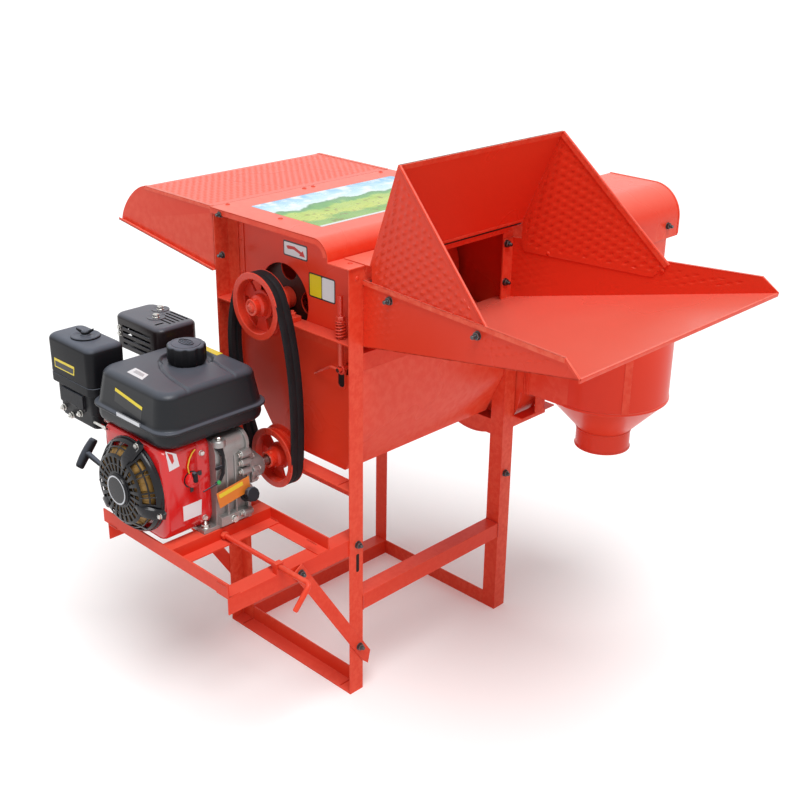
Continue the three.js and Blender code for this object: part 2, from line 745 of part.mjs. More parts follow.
// Drum, shaft, bearings and concave
function makeRotor() {
  const y0 = panelNearInner + drumEndGap;
  const y1 = panelFarInner - drumEndGap;
  const shell = cut(rodY(shaftX, shaftHeight, drumRadius, y0, y1, 36),
    rodY(shaftX, shaftHeight, drumRadius - drumWall, y0 - overrun, y1 + overrun, 36));
  const holeRing = drumRadius * drumDiscHoleShare;
  const discHoles = [];
  for (let i = 0; i < 4; i += 1) {
    const turn = (i * Math.PI) / 2;
    discHoles.push(rodY(shaftX + holeRing * Math.cos(turn), shaftHeight + holeRing * Math.sin(turn),
      drumDiscHoleRadius, y0 - overrun, y1 + overrun, 12));
  }
  const disc = (start) => rodY(shaftX, shaftHeight, drumRadius - drumWall / 2, start, start + drumWall, 36);
  const teeth = [];
  for (let row = 0; row < toothRows; row += 1) {
    const turn = (row / toothRows) * 2 * Math.PI;
    for (let i = 0; i < teethPerRow; i += 1) {
      const stagger = toothStaggerShares[row % 2];
      const y = y0 + ((i + stagger) / teethPerRow) * (y1 - y0);
      const tooth = new THREE.CylinderGeometry(toothRadius, toothRadius, toothLength + drumWall, 6);
      tooth.translate(0, drumRadius - drumWall + (toothLength + drumWall) / 2, 0);
      tooth.rotateX(Math.PI / 2);
      tooth.rotateY(turn);
      tooth.translate(shaftX, y, shaftHeight);
      teeth.push(toSolid(tooth));
    }
  }
  const bore = rodY(shaftX, shaftHeight, shaftRadius + fit, 0, frameWidth, 24);
  const bearingY = [overrun, angleWidth - angleThickness - overrun];
  const discs = cut(join(disc(y0), disc(y1 - drumWall)), discHoles);
  place('threshing_drum', cut(join(shell, discs, teeth), bore), darkRed);

  const bearing = cut(join(
    block([shaftX - bearingHeight * 2, shaftX + bearingHeight * 2], bearingY,
      [bearingRailTop, bearingRailTop + bearingHeight / 3]),
    rodY(shaftX, shaftHeight, bearingHeight - angleThickness, ...bearingY, 24)),
    rodY(shaftX, shaftHeight, shaftRadius + fit, -overrun, angleWidth, 24));
  place('bearing_near', bearing, redPaint);
  place('bearing_far', mirrored(bearing), redPaint);

  const farPulleyStart = fanEnd + fanBossLength + farPulleyGap;
  const shaftEnd = farPulleyStart + farPulleyWidth;
  const shaft = rodY(shaftX, shaftHeight, shaftRadius, pulleyFront - drumHubReach, shaftEnd, 24);
  const farPulley = turnedY(shaftX, shaftHeight,
    grooveProfile(farDrumPulleyRadius, farPulleyStart, farPulleyWidth, 1, 0));
  const collar = rodY(shaftX, shaftHeight, shaftCollarRadius, bearingY[1] + fit, y0 - fit, 24);
  place('drum_shaft', join(shaft, collar, mirrored(collar), farPulley), steel);

  const arcPoints = (radius) => arc(shaftX, shaftHeight, radius, -90 - concaveSpanDegrees / 2,
    -90 + concaveSpanDegrees / 2, 14);
  const ribPoints = [...arcPoints(concaveRadius), ...arcPoints(concaveRadius + concaveRib).reverse()];
  const span = y1 - y0;
  const ribs = [];
  for (let i = 0; i < concaveRibCount; i += 1) {
    const start = y0 + ((span - concaveRib) * i) / (concaveRibCount - 1);
    ribs.push(prismY(ribPoints, start, start + concaveRib));
  }
  const bars = [];
  for (let i = 0; i < concaveRodCount; i += 1) {
    const turn = THREE.MathUtils.degToRad(-90 - concaveSpanDegrees / 2
      + (concaveSpanDegrees * (i + 0.5)) / concaveRodCount);
    const r = concaveRadius + concaveRib / 2;
    bars.push(rodY(
      shaftX + r * Math.cos(turn), shaftHeight + r * Math.sin(turn), concaveRodRadius, y0, y1, 6));
  }
  const endTurn = THREE.MathUtils.degToRad(-90 + concaveSpanDegrees / 2);
  const edge = [shaftX + (concaveRadius + concaveRib / 2) * Math.cos(endTurn),
    shaftHeight + (concaveRadius + concaveRib / 2) * Math.sin(endTurn)];
  const half = concaveRib / 2;
  const lever = (start) => prismY([[edge[0] - half, edge[1] - half], [crossRodX, crossRodHeight - half],
    [crossRodX, crossRodHeight + half], [edge[0] - half, edge[1] + half]], start, start + concaveRib);
  const crossRod = rodY(crossRodX, crossRodHeight, crossRodRadius,
    floatRodY - concaveRib, frameWidth - floatRodY + concaveRib, 12);
  const pivotRod = rodY(...concavePivot(), concavePivotRadius,
    panelNearOuter + fit, panelFarOuter - fit, 16);
  const levers = [lever(y0), lever(y1 - concaveRib)];
  place('concave', join(ribs, bars, levers, crossRod, pivotRod), darkRed);

  const nutBase = bearingRailTop + springHeight + fit;
  const eyeZ = [crossRodHeight - floatEyeRadius, crossRodHeight + floatEyeRadius];
  const eyeY = [floatRodY - floatRodRadius, floatRodY + floatRodRadius];
  const eye = cut(rodY(crossRodX, crossRodHeight, floatEyeRadius, ...eyeY, 20),
    rodY(crossRodX, crossRodHeight, crossRodRadius + eyeClearance, 0, angleWidth, 12));
  const floatRod = join(
    rodZ(crossRodX, floatRodY, floatRodRadius, eyeZ[1] - angleThickness, floatRodTop, 12),
    rodZ(crossRodX, floatRodY, springOuterRadius, nutBase, nutBase + angleThickness, 16),
    rodZ(crossRodX, floatRodY, nutRadius, nutBase + angleThickness, nutBase + floatNutLength, 6), eye);
  place('concave_rod', floatRod, redPaint);
  place('concave_spring', coilSpring(), darkRed);
}

// One wire wound up the rod, with a flat closed coil at each end
function coilSpring() {
  const wireRadius = springWire / 2;
  const radius = springOuterRadius - wireRadius;
  const bottom = bearingRailTop + fit + wireRadius;
  const rise = springHeight - springWire - 2 * fit;
  const steps = springTurns * springSidesPerTurn;
  const centres = [];
  for (let i = 0; i <= steps; i += 1) {
    const turn = (i / springSidesPerTurn) * 2 * Math.PI;
    const x = crossRodX + radius * Math.cos(turn);
    const y = floatRodY + radius * Math.sin(turn);
    centres.push(new THREE.Vector3(x, y, bottom + rise * (i / steps)));
  }
  const pitchGap = rise / springTurns - springWire;
  console.log(`least gap of the spring to itself: ${pitchGap.toFixed(2)} mm`);
  const positions = [];
  const indices = [];
  centres.forEach((centre, i) => {
    const turn = (i / springSidesPerTurn) * 2 * Math.PI;
    const outward = new THREE.Vector3(Math.cos(turn), Math.sin(turn), 0);
    for (let k = 0; k < springSides; k += 1) {
      const around = (k / springSides) * 2 * Math.PI;
      positions.push(centre.x + outward.x * wireRadius * Math.cos(around),
        centre.y + outward.y * wireRadius * Math.cos(around), centre.z + wireRadius * Math.sin(around));
    }
  });
  for (let i = 0; i < steps; i += 1) {
    for (let k = 0; k < springSides; k += 1) {
      const a = i * springSides + k;
      const b = i * springSides + ((k + 1) % springSides);
      indices.push(a, a + springSides, b, b, a + springSides, b + springSides);
    }
  }
  const last = steps * springSides;
  for (let k = 1; k < springSides - 1; k += 1) {
    indices.push(0, k, k + 1, last, last + k + 1, last + k);
  }
  const geometry = new THREE.BufferGeometry();
  geometry.setAttribute('position', new THREE.Float32BufferAttribute(positions, 3));
  geometry.setIndex(indices);
  const solid = toSolid(geometry);
  return solid.volume() < 0 ? toSolid(flipped(geometry)) : solid;
}

// V-grooved wheel section between start and start + width, with the axis side closed
function grooveProfile(radius, start, width, grooves, innerRadius) {
  const profile = [[innerRadius, start], [radius, start]];
  const pitch = width / grooves;
  for (let i = 0; i < grooves; i += 1) {
    const centre = start + pitch * (i + 0.5);
    profile.push([radius, centre - grooveTopHalf], [radius - grooveDepth, centre - grooveBottomHalf],
      [radius - grooveDepth, centre + grooveBottomHalf], [radius, centre + grooveTopHalf]);
  }
  profile.push([radius, start + width], [innerRadius, start + width]);
  if (innerRadius > 0) {
    profile.push([innerRadius, start]);
  }
  return profile;
}

function spokedPulley(x, z, radius, hubReach, boreRadius) {
  const rimInner = radius - pulleyRimDepth;
  const end = pulleyFront + pulleyWidth;
  const rim = turnedY(x, z, grooveProfile(radius, pulleyFront, pulleyWidth, 2, rimInner));
  const middle = (pulleyFront + end) / 2;
  const web = rodY(x, z, rimInner + pulleyWall,
    middle - pulleyWebThickness / 2, middle + pulleyWebThickness / 2, pulleySegments);
  const hub = rodY(x, z, pulleyHubRadius, pulleyFront - hubReach, end, 24);
  const [innerShare, outerShare] = pulleyWindowShares;
  const windows = [];
  for (let i = 0; i < pulleyWindows; i += 1) {
    const middleTurn = 90 + (i * 360) / pulleyWindows;
    const half = pulleyWindowDegrees;
    windows.push(prismY([
      ...arc(x, z, radius * outerShare, middleTurn - half, middleTurn + half, 6),
      ...arc(x, z, radius * innerShare, middleTurn + half - overrun, middleTurn - half + overrun, 4)],
    pulleyFront, end));
  }
  const bore = rodY(x, z, boreRadius, pulleyFront - hubReach - overrun, end + overrun, 24);
  return cut(join(cut(join(rim, web), windows), hub), bore);
}

// Belt loop round two wheels, with a V section and a slack bow on either run
function beltLoop(wheelA, wheelB, centreY, frontSlack, rearSlack) {
  const axis = new THREE.Vector2(wheelB.x - wheelA.x, wheelB.z - wheelA.z);
  const distance = axis.length();
  const heading = Math.atan2(axis.y, axis.x);
  const lean = Math.acos((wheelA.radius - wheelB.radius) / distance);
  const stations = [];
  const sweep = (wheel, from, to) => {
    for (let i = 0; i <= beltArcSteps; i += 1) {
      const turn = from + ((to - from) * i) / beltArcSteps;
      stations.push({ wheel, turn });
    }
  };
  const sag = (start, end, turn, slack) => {
    for (let i = 1; i <= beltRunSteps; i += 1) {
      const share = i / (beltRunSteps + 1);
      const bow = slack * Math.sin(Math.PI * share) ** 1.5;
      const wheel = {
        x: start.x + (end.x - start.x) * share,
        z: start.z + (end.z - start.z) * share,
        radius: start.radius + (end.radius - start.radius) * share + bow,
      };
      stations.push({ wheel, turn });
    }
  };
  sweep(wheelA, heading + lean, heading + 2 * Math.PI - lean);
  sag(wheelA, wheelB, heading - lean, frontSlack);
  sweep(wheelB, heading - lean, heading + lean);
  sag(wheelB, wheelA, heading + lean, rearSlack);
  const section = [[-beltBottomHalf, -beltThickness], [beltBottomHalf, -beltThickness], [beltTopHalf, 0],
    [-beltTopHalf, 0]];
  const positions = [];
  const indices = [];
  stations.forEach(({ wheel, turn }) => {
    section.forEach(([across, depth]) => {
      const r = wheel.radius + depth;
      positions.push(wheel.x + r * Math.cos(turn), centreY + across, wheel.z + r * Math.sin(turn));
    });
  });
  const count = section.length;
  stations.forEach((_, i) => {
    const next = (i + 1) % stations.length;
    for (let k = 0; k < count; k += 1) {
      const a = i * count + k;
      const b = i * count + ((k + 1) % count);
      const c = next * count + k;
      const d = next * count + ((k + 1) % count);
      indices.push(a, b, c, b, d, c);
    }
  });
  const geometry = new THREE.BufferGeometry();
  geometry.setAttribute('position', new THREE.Float32BufferAttribute(positions, 3));
  geometry.setIndex(indices);
  const solid = toSolid(geometry);
  return solid.volume() < 0 ? toSolid(flipped(geometry)) : solid;
}

function makeDrive() {
  place('drum_pulley', spokedPulley(
    shaftX, shaftHeight, drumPulleyRadius, drumHubReach, shaftRadius + fit), redPaint);
  place('engine_pulley', spokedPulley(
    outputX, crankHeight, enginePulleyRadius, engineHubReach, outputRadius + fit), redPaint);
  const wheels = [
    { x: shaftX, z: shaftHeight, radius: drumPulleyRadius - beltSink },
    { x: outputX, z: crankHeight, radius: enginePulleyRadius - beltSink }];
  const slack = [beltFrontSlack, beltRearSlack];
  place('belt_front', beltLoop(...wheels, pulleyFront + pulleyWidth / 4, ...slack), beltRubber);
  place('belt_rear', beltLoop(...wheels, pulleyFront + (pulleyWidth * 3) / 4, ...slack), beltRubber);
}

// Engine: block, shroud, starter, tank, air cleaner, muffler and controls
function makeEngine() {
  makeBlock();
  makeStarter();
  makeTank();
  makeCleaner();
  makeMuffler();
  makeControls();
}

// Crankcase on its foot, with the tilted cylinder, carburettor body and exhaust elbow
function makeBlock() {
  const half = footHoleSpacing / 2 + footMargin;
  const shroudRoom = prismY(shroudOutline(-fit), shroudNear, blockNear);
  const foot = cut(block([engineCentreX - half, engineCentreX + half], [blockNear - footReach, blockFar],
    [engineBase, engineBase + footThickness]), shroudRoom);
  const rightX = engineCentreX + blockReach;
  const leftX = crankX - blockBackReach;
  const crankcase = prismY([
    [leftX, engineBase + footThickness / 2], [rightX, engineBase + footThickness / 2],
    ...arc(rightX - blockCorner, tankSeat - blockCorner, blockCorner, 0, 90, 4), [leftX, tankSeat]],
  blockNear, blockFar);
  const cylinder = new THREE.BoxGeometry(cylinderReach, blockDepth - 2 * overrun, 2 * cylinderHalf);
  cylinder.translate(-cylinderReach / 2, 0, 0);
  cylinder.rotateY(THREE.MathUtils.degToRad(cylinderTiltDegrees));
  cylinder.translate(crankX, (blockNear + blockFar) / 2, crankHeight);
  const headX = crankX - cylinderReach;
  const throatX = crankX + (cleanerBackX + cleanerFrontX) / 2;
  const throatY = cleanerFarY - cleanerFootInset + fit;
  const throat = block([throatX - carburettorHalf, crankX - shroudRadius - fit],
    [throatY, blockNear + 2 * carburettorHalf], [tankSeat - 2 * carburettorHalf, tankSeat]);
  const elbowX = crankX + mufflerFrontX - elbowHalf;
  const riser = block(
    [elbowX - elbowHalf, elbowX + elbowHalf], [blockFar - elbowHalf, blockFar + elbowReach],
    [crankHeight, engineBase + mufflerBottom - fit]);
  const branch = block([elbowX - elbowHalf, headX + elbowHalf], [blockFar - elbowHalf, blockFar],
    [crankHeight, crankHeight + 2 * elbowHalf]);
  place('engine_block', join(foot, crankcase, toSolid(cylinder), throat, riser, branch), castAlloy);

  const caseNear = blockFar + fit;
  const caseFar = caseNear + caseDepth;
  const lean = THREE.MathUtils.radToDeg(Math.acos((caseCrankRadius - caseOutputRadius) / outputReach));
  const caseShape = [
    ...arc(crankX, crankHeight, caseCrankRadius, lean, 360 - lean, 16),
    ...arc(outputX, crankHeight, caseOutputRadius, -lean, lean, 10)];
  place('reduction_case', cut(prismY(caseShape, caseNear, caseFar),
    rodY(outputX, crankHeight, outputRadius + fit, caseFar - outputDepthInCase, caseFar + overrun, 20)),
  castAlloy);
  place('output_shaft', rodY(outputX, crankHeight, outputRadius,
    caseFar - outputDepthInCase + fit, pulleyFront + pulleyWidth, 20), steel);
}

// Round towards the air cleaner, square-shouldered over the engine's foot
function shroudOutline(inset) {
  const rightX = crankX + shroudRadius - inset;
  const footZ = crankHeight - shroudRadius + shroudFootRadius;
  return [
    ...arc(crankX, crankHeight, shroudRadius - inset, 180, 270, 8),
    ...arc(crankX + shroudRadius - shroudFootRadius, footZ, shroudFootRadius - inset, 270, 360, 5),
    [rightX, tankSeat - shroudCorner], [crankX + shroudRadius - shroudCorner, tankSeat - inset],
    [crankX - shroudRadius + inset, tankSeat - inset]];
}

// Fan shroud, ribbed starter cover and its handle
function makeStarter() {
  const shroud = cut(prismY(shroudOutline(0), shroudNear, blockNear - fit),
    prismY(shroudOutline(shellWall), shroudNear + shellWall, blockNear + overrun),
    rodY(crankX, crankHeight, shroudIntakeRadius, shroudNear - overrun, shroudNear + overrun, 32));
  place('fan_shroud', shroud, engineRed);

  const recoilBack = shroudNear - fit;
  const rimNear = recoilBack - recoilRimDepth;
  const recoilProfile = [
    [0, recoilNear], [recoilHubRadius, recoilNear], [recoilHubRadius, recoilNear + recoilHubDepth],
    [recoilFrontRadius, recoilNear + recoilHubDepth], [recoilRadius, rimNear],
    [recoilRadius, recoilBack], [recoilRadius - recoilWall, recoilBack],
    [recoilRadius - recoilWall, rimNear + recoilWall / 2],
    [recoilFrontRadius - recoilWall, recoilNear + recoilHubDepth + recoilWall],
    [0, recoilNear + recoilHubDepth + recoilWall]];
  const ropeX = crankX - recoilRadius;
  const ropeY = recoilBack - recoilRimDepth / 2;
  const ropeZ = crankHeight + ropeLift;
  const ropeHole = rodX(ropeY, ropeZ, ropeRadius + 2 * fit, ropeX - overrun, ropeX + 4 * recoilWall, 10);
  place('recoil_cover', cut(turnedY(crankX, crankHeight, recoilProfile, 32), ropeHole), blackPaint);

  const handleX = ropeX - handleStem - handleRadius;
  const grip = new THREE.CylinderGeometry(handleRadius, handleRadius, handleLength, 12);
  grip.rotateX(Math.PI / 2 - THREE.MathUtils.degToRad(handleTiltDegrees));
  grip.translate(handleX, ropeY, ropeZ);
  place('pull_handle', join(
    rodX(ropeY, ropeZ, ropeRadius, handleX, ropeX + ropeInside, 8),
    rodX(ropeY, ropeZ, handleRadius * handleStemShare, handleX, ropeX - fit - overrun, 10),
    toSolid(grip)), blackPaint);
}

// Pressed tank in two halves seamed at a flange, with a crowned top
function makeTank() {
  const xs = [crankX + tankBackX, crankX + tankFrontX];
  const ys = [tankNearY, tankFarY];
  const z0 = engineBase + tankBottom;
  const z1 = z0 + tankHeight;
  const seamZ = z0 + tankFlangeHeight;
  const body = crownedBlock(inset(xs, tankFlange), inset(ys, tankFlange), [z0, z1], tankCorner, tankCrown);
  const rim = roundedBlock(xs, ys, [seamZ, seamZ + tankWall], tankCorner + tankFlange);
  const hollow = crownedBlock(inset(xs, tankFlange + tankWall), inset(ys, tankFlange + tankWall),
    [z0 + tankWall, z1 - tankWall], tankCorner - tankWall, tankCrown);
  const capCentre = [crankX + capX, capY];
  const seatZ = z1 - capRecess;
  const pan = rodZ(...capCentre, capRecessRadius + tankWall, seatZ - tankWall, z1 - tankWall / 2, 32);
  const recess = rodZ(...capCentre, capRecessRadius, seatZ, z1 + overrun, 32);
  const neck = rodZ(...capCentre, capNeckRadius, seatZ - 2 * tankWall, z1, 16);
  place('fuel_tank', cut(join(cut(join(body, rim), hollow), pan), recess, neck), blackPaint);
  place('fuel_cap', join(
    rodZ(...capCentre, capRadius, seatZ + fit, z1 + capHeight, 20),
    rodZ(...capCentre, capNeckRadius - 2 * fit, seatZ - 2 * tankWall, z1, 16)), blackPaint);
}

// Air cleaner: a box with a crowned lid and wing nut, over a smaller lower case
function makeCleaner() {
  const xs = [crankX + cleanerBackX, crankX + cleanerFrontX];
  const ys = [cleanerNearY, cleanerFarY];
  const bottom = engineBase + cleanerBottom;
  const top = engineBase + cleanerTop;
  const knobCentre = [(xs[0] + xs[1]) / 2, (ys[0] + ys[1]) / 2];
  const lid = shellBlock(xs, ys, [bottom, top], cleanerCorner, cleanerCrown);
  const slotZ = (bottom + top) / 2;
  const slot = block([xs[0] - overrun, xs[0] + overrun], inset(ys, cleanerCorner + overrun),
    [slotZ, slotZ + cleanerInletHeight]);
  const lowerCase = roundedBlock(inset(xs, cleanerFootInset), inset(ys, cleanerFootInset),
    [bottom - cleanerFootHeight, bottom + shellWall], cleanerCorner);
  const innerInset = cleanerFootInset + shellWall;
  const throatRoom = roundedBlock(inset(xs, innerInset), inset(ys, innerInset),
    [bottom - cleanerFootHeight + shellWall, bottom + 2 * shellWall], cleanerCorner - shellWall);
  const knob = rodZ(...knobCentre, cleanerKnobRadius, top - shellWall, top + cleanerKnobHeight, 24);
  const nut = rodZ(...knobCentre, wingNutRadius, top, top + cleanerKnobHeight + wingNutHeight, 12);
  place('air_cleaner', join(cut(join(lid, lowerCase), throatRoom, slot), knob, nut), blackPaint);
}

function makeMuffler() {
  const xs = [crankX + mufflerBackX, crankX + mufflerFrontX];
  const ys = [mufflerNearY, mufflerFarY];
  const zs = [engineBase + mufflerBottom, engineBase + mufflerTop];
  const port = rodX((ys[0] + ys[1]) / 2, (zs[0] + zs[1]) / 2, mufflerPortRadius,
    xs[0] - overrun, xs[0] + overrun, 16);
  place('muffler', cut(shellBlock(xs, ys, zs, mufflerCorner, mufflerCrown), port), blackPaint);
}

// Stop switch on the shroud's side and throttle lever at its upper corner
function makeControls() {
  const switchX = crankX + shroudRadius + fit;
  const switchZ = engineBase + switchHeight;
  const [pegHalf, pegReach] = switchPegShares.map((share) => share * switchRadius);
  place('stop_switch', join(
    rodX(switchY, switchZ, switchRadius, switchX, switchX + switchLength, 20),
    block([switchX + switchLength - overrun, switchX + switchLength + overrun],
      [switchY - pegHalf, switchY + pegHalf], [switchZ, switchZ + pegReach])), engineRed);
  const leverY = shroudNear - fit;
  const leverX = crankX - shroudRadius + leverWidth;
  const leverZ = tankSeat - leverWidth;
  place('throttle_lever', join(
    rodY(leverX, leverZ, leverWidth / 2, leverY - leverThickness, leverY, 14),
    block([leverX - leverLength, leverX], [leverY - leverThickness, leverY],
      [leverZ - leverWidth / 3, leverZ + leverWidth / 3])), steel);
}

function inset([from, to], by) {
  return [from + by, to - by];
}

function roundedRectangle([x0, x1], [y0, y1], corner, steps = 4) {
  return [
    ...arc(x1 - corner, y0 + corner, corner, -90, 0, steps),
    ...arc(x1 - corner, y1 - corner, corner, 0, 90, steps),
    ...arc(x0 + corner, y1 - corner, corner, 90, 180, steps),
    ...arc(x0 + corner, y0 + corner, corner, 180, 270, steps)];
}

function roundedBlock(xs, ys, [z0, z1], corner) {
  return prismZ(roundedRectangle(xs, ys, corner), z0, z1);
}

// A block with round upright corners whose top edge rounds off over the crown's height
function crownedBlock(xs, ys, [z0, z1], corner, crown) {
  const rings = [[0, z0]];
  for (let i = 0; i <= tankCrownSteps; i += 1) {
    const turn = ((i / tankCrownSteps) * Math.PI) / 2;
    rings.push([crown * (1 - Math.cos(turn)), z1 - crown + crown * Math.sin(turn)]);
  }
  const loops = rings.map(([by, z]) => roundedRectangle(inset(xs, by), inset(ys, by),
    corner - by / 2).map(([x, y]) => [x, y, z]));
  return loft(loops);
}

// A thin-walled box with round upright corners and a crowned top
function shellBlock(xs, ys, [z0, z1], corner, crown) {
  return cut(crownedBlock(xs, ys, [z0, z1], corner, crown),
    crownedBlock(inset(xs, shellWall), inset(ys, shellWall), [z0 + shellWall, z1 - shellWall],
      corner - shellWall / 2, crown));
}

// A closed skin over like loops of points, one above the other
function loft(loops) {
  const count = loops[0].length;
  const positions = loops.flat(2);
  const indices = [];
  for (let level = 0; level + 1 < loops.length; level += 1) {
    for (let i = 0; i < count; i += 1) {
      const a = level * count + i;
      const b = level * count + ((i + 1) % count);
      indices.push(a, b, a + count, b, b + count, a + count);
    }
  }
  const top = (loops.length - 1) * count;
  for (let i = 1; i < count - 1; i += 1) {
    indices.push(0, i + 1, i, top, top + i, top + i + 1);
  }
  const geometry = new THREE.BufferGeometry();
  geometry.setAttribute('position', new THREE.Float32BufferAttribute(positions, 3));
  geometry.setIndex(indices);
  const solid = toSolid(geometry);
  return solid.volume() < 0 ? toSolid(flipped(geometry)) : solid;
}

// Feed tray with splayed walls, and the three hood panels bolted inside them
function wallY(x, share = 0) {
  return panelNearOuter - (traySplay * (x - frameLength)) / (trayFrontX - frameLength) + share;
}

function floorHeight(x) {
  const slope = (trayFrontHeight - trayFloorHeight) / (trayFrontX - frameLength);
  return trayFloorHeight + slope * (x - frameLength);
}

// A plate that stands on the splayed line of the tray wall; its outline is in XZ
function splayedPlate(points, shift, thickness) {
  const start = shift;
  const positions = [];
  const front = points.map(([x, z]) => [x, wallY(x, start), z]);
  const back = points.map(([x, z]) => [x, wallY(x, start + thickness), z]);
  [...front, ...back].forEach((p) => positions.push(...p));
  const faces = THREE.ShapeUtils.triangulateShape(points.map(([x, z]) => new THREE.Vector2(x, z)), []);
  const indices = [];
  const count = points.length;
  faces.forEach(([a, b, c]) => indices.push(a, b, c, a + count, c + count, b + count));
  for (let i = 0; i < count; i += 1) {
    const next = (i + 1) % count;
    indices.push(i, i + count, next, next, i + count, next + count);
  }
  const geometry = new THREE.BufferGeometry();
  geometry.setAttribute('position', new THREE.Float32BufferAttribute(positions, 3));
  geometry.setIndex(indices);
  const solid = toSolid(geometry);
  return solid.volume() < 0 ? toSolid(flipped(geometry)) : solid;
}

function makeFeed() {
  const startX = frameLength + fit;
  const rim = trayRim;
  const wall = splayedPlate([
    [startX, floorHeight(startX)], [trayFrontX, trayFrontHeight], [trayWallFrontX, trayWallFrontHeight],
    [startX, trayFloorHeight + trayWallHeight]], 0, sheet);
  const wallRim = splayedPlate([
    [startX, trayFloorHeight + trayWallHeight - rim], [trayWallFrontX, trayWallFrontHeight - rim],
    [trayWallFrontX, trayWallFrontHeight], [startX, trayFloorHeight + trayWallHeight]], -rim, rim + sheet);
  const flange = block([startX, startX + sheet], [panelNearOuter, panelNearOuter + trayFlange],
    [trayFloorHeight, trayFloorHeight + trayWallHeight]);
  const side = join(wall, wallRim, flange);

  const inner = wallY(startX, 0);
  const outer = wallY(trayFrontX, 0);
  const tongueX = frameLength - trayTongue;
  const floorShape = [[startX, inner], [trayFrontX, outer], [trayFrontX, frameWidth - outer],
    [startX, frameWidth - inner]];
  const tongueInset = panelNearInner + fit;
  const slab = (points) => {
    const low = points.map(([x, y]) => [x, y, floorHeight(x) - sheet]);
    const high = points.map(([x, y]) => [x, y, floorHeight(x)]);
    return prismBetween(low, high);
  };
  const tongue = [
    [tongueX, tongueInset], [startX + sheet, tongueInset],
    [startX + sheet, frameWidth - tongueInset], [tongueX, frameWidth - tongueInset]];
  const frontRim = block([trayFrontX - rim, trayFrontX], [outer, frameWidth - outer],
    [trayFrontHeight - 2 * rim, trayFrontHeight]);
  place('feed_tray', join(slab(floorShape), slab(tongue), frontRim, side, mirrored(side)), redPaint);

  const lapZ = frontLegHeight + coverThickness;
  const slope = (hoodApexHeight - lapZ) / (hoodApexX - hoodRearX);
  const backLine = (x) => lapZ + slope * (x - hoodRearX);
  const cheekShift = sheet + fit;
  const cheekRearX = hoodRearX + 2 * sheet;
  const cheekPoints = [
    [cheekRearX, hoodFootHeight - hoodLap], [hoodFootX - hoodLap, hoodFootHeight - hoodLap],
    [hoodFootX, hoodFootHeight], [hoodApexX, hoodApexHeight], [cheekRearX, backLine(cheekRearX)]];
  const foldPoints = [
    [hoodFootX, hoodFootHeight], [hoodApexX, hoodApexHeight],
    [hoodApexX - rim / 2, hoodApexHeight - 2 * rim], [hoodFootX - 2 * rim, hoodFootHeight]];
  const cheek = join(
    splayedPlate(cheekPoints, cheekShift, sheet), splayedPlate(foldPoints, cheekShift, rim));
  place('hood_left', cheek, redPaint);
  place('hood_right', mirrored(cheek), redPaint);

  const backInset = cheekShift + fit;
  const normalX = sheet;
  const lapEnd = coverFlatEnd + coverArcRadius + sheet;
  const nearEdge = (x) => wallY(x, backInset);
  const backFace = (x, z) => [[x, nearEdge(x), z], [x, frameWidth - nearEdge(x), z]];
  const behind = hoodRearX - fit;
  const tipX = hoodApexX - fit;
  const low = [...backFace(behind, lapZ + fit), ...backFace(tipX, hoodApexHeight).reverse()];
  const back = low.map(([x, y, z]) => [x - 2 * normalX, y, z]);
  const rear = prismBetween(back, low);
  const lap = block([lapEnd, behind], [nearEdge(behind), frameWidth - nearEdge(behind)],
    [lapZ + fit, lapZ + fit + sheet]);
  place('hood_back', join(rear, lap), redPaint);
}

// A solid between two like outlines given corner by corner
function prismBetween(low, high) {
  const count = low.length;
  const positions = [...low, ...high].flat();
  const indices = [];
  for (let i = 1; i < count - 1; i += 1) {
    indices.push(0, i + 1, i, count, count + i, count + i + 1);
  }
  for (let i = 0; i < count; i += 1) {
    const next = (i + 1) % count;
    indices.push(i, next, i + count, next, next + count, i + count);
  }
  const geometry = new THREE.BufferGeometry();
  geometry.setAttribute('position', new THREE.Float32BufferAttribute(positions, 3));
  geometry.setIndex(indices);
  const solid = toSolid(geometry);
  return solid.volume() < 0 ? toSolid(flipped(geometry)) : solid;
}

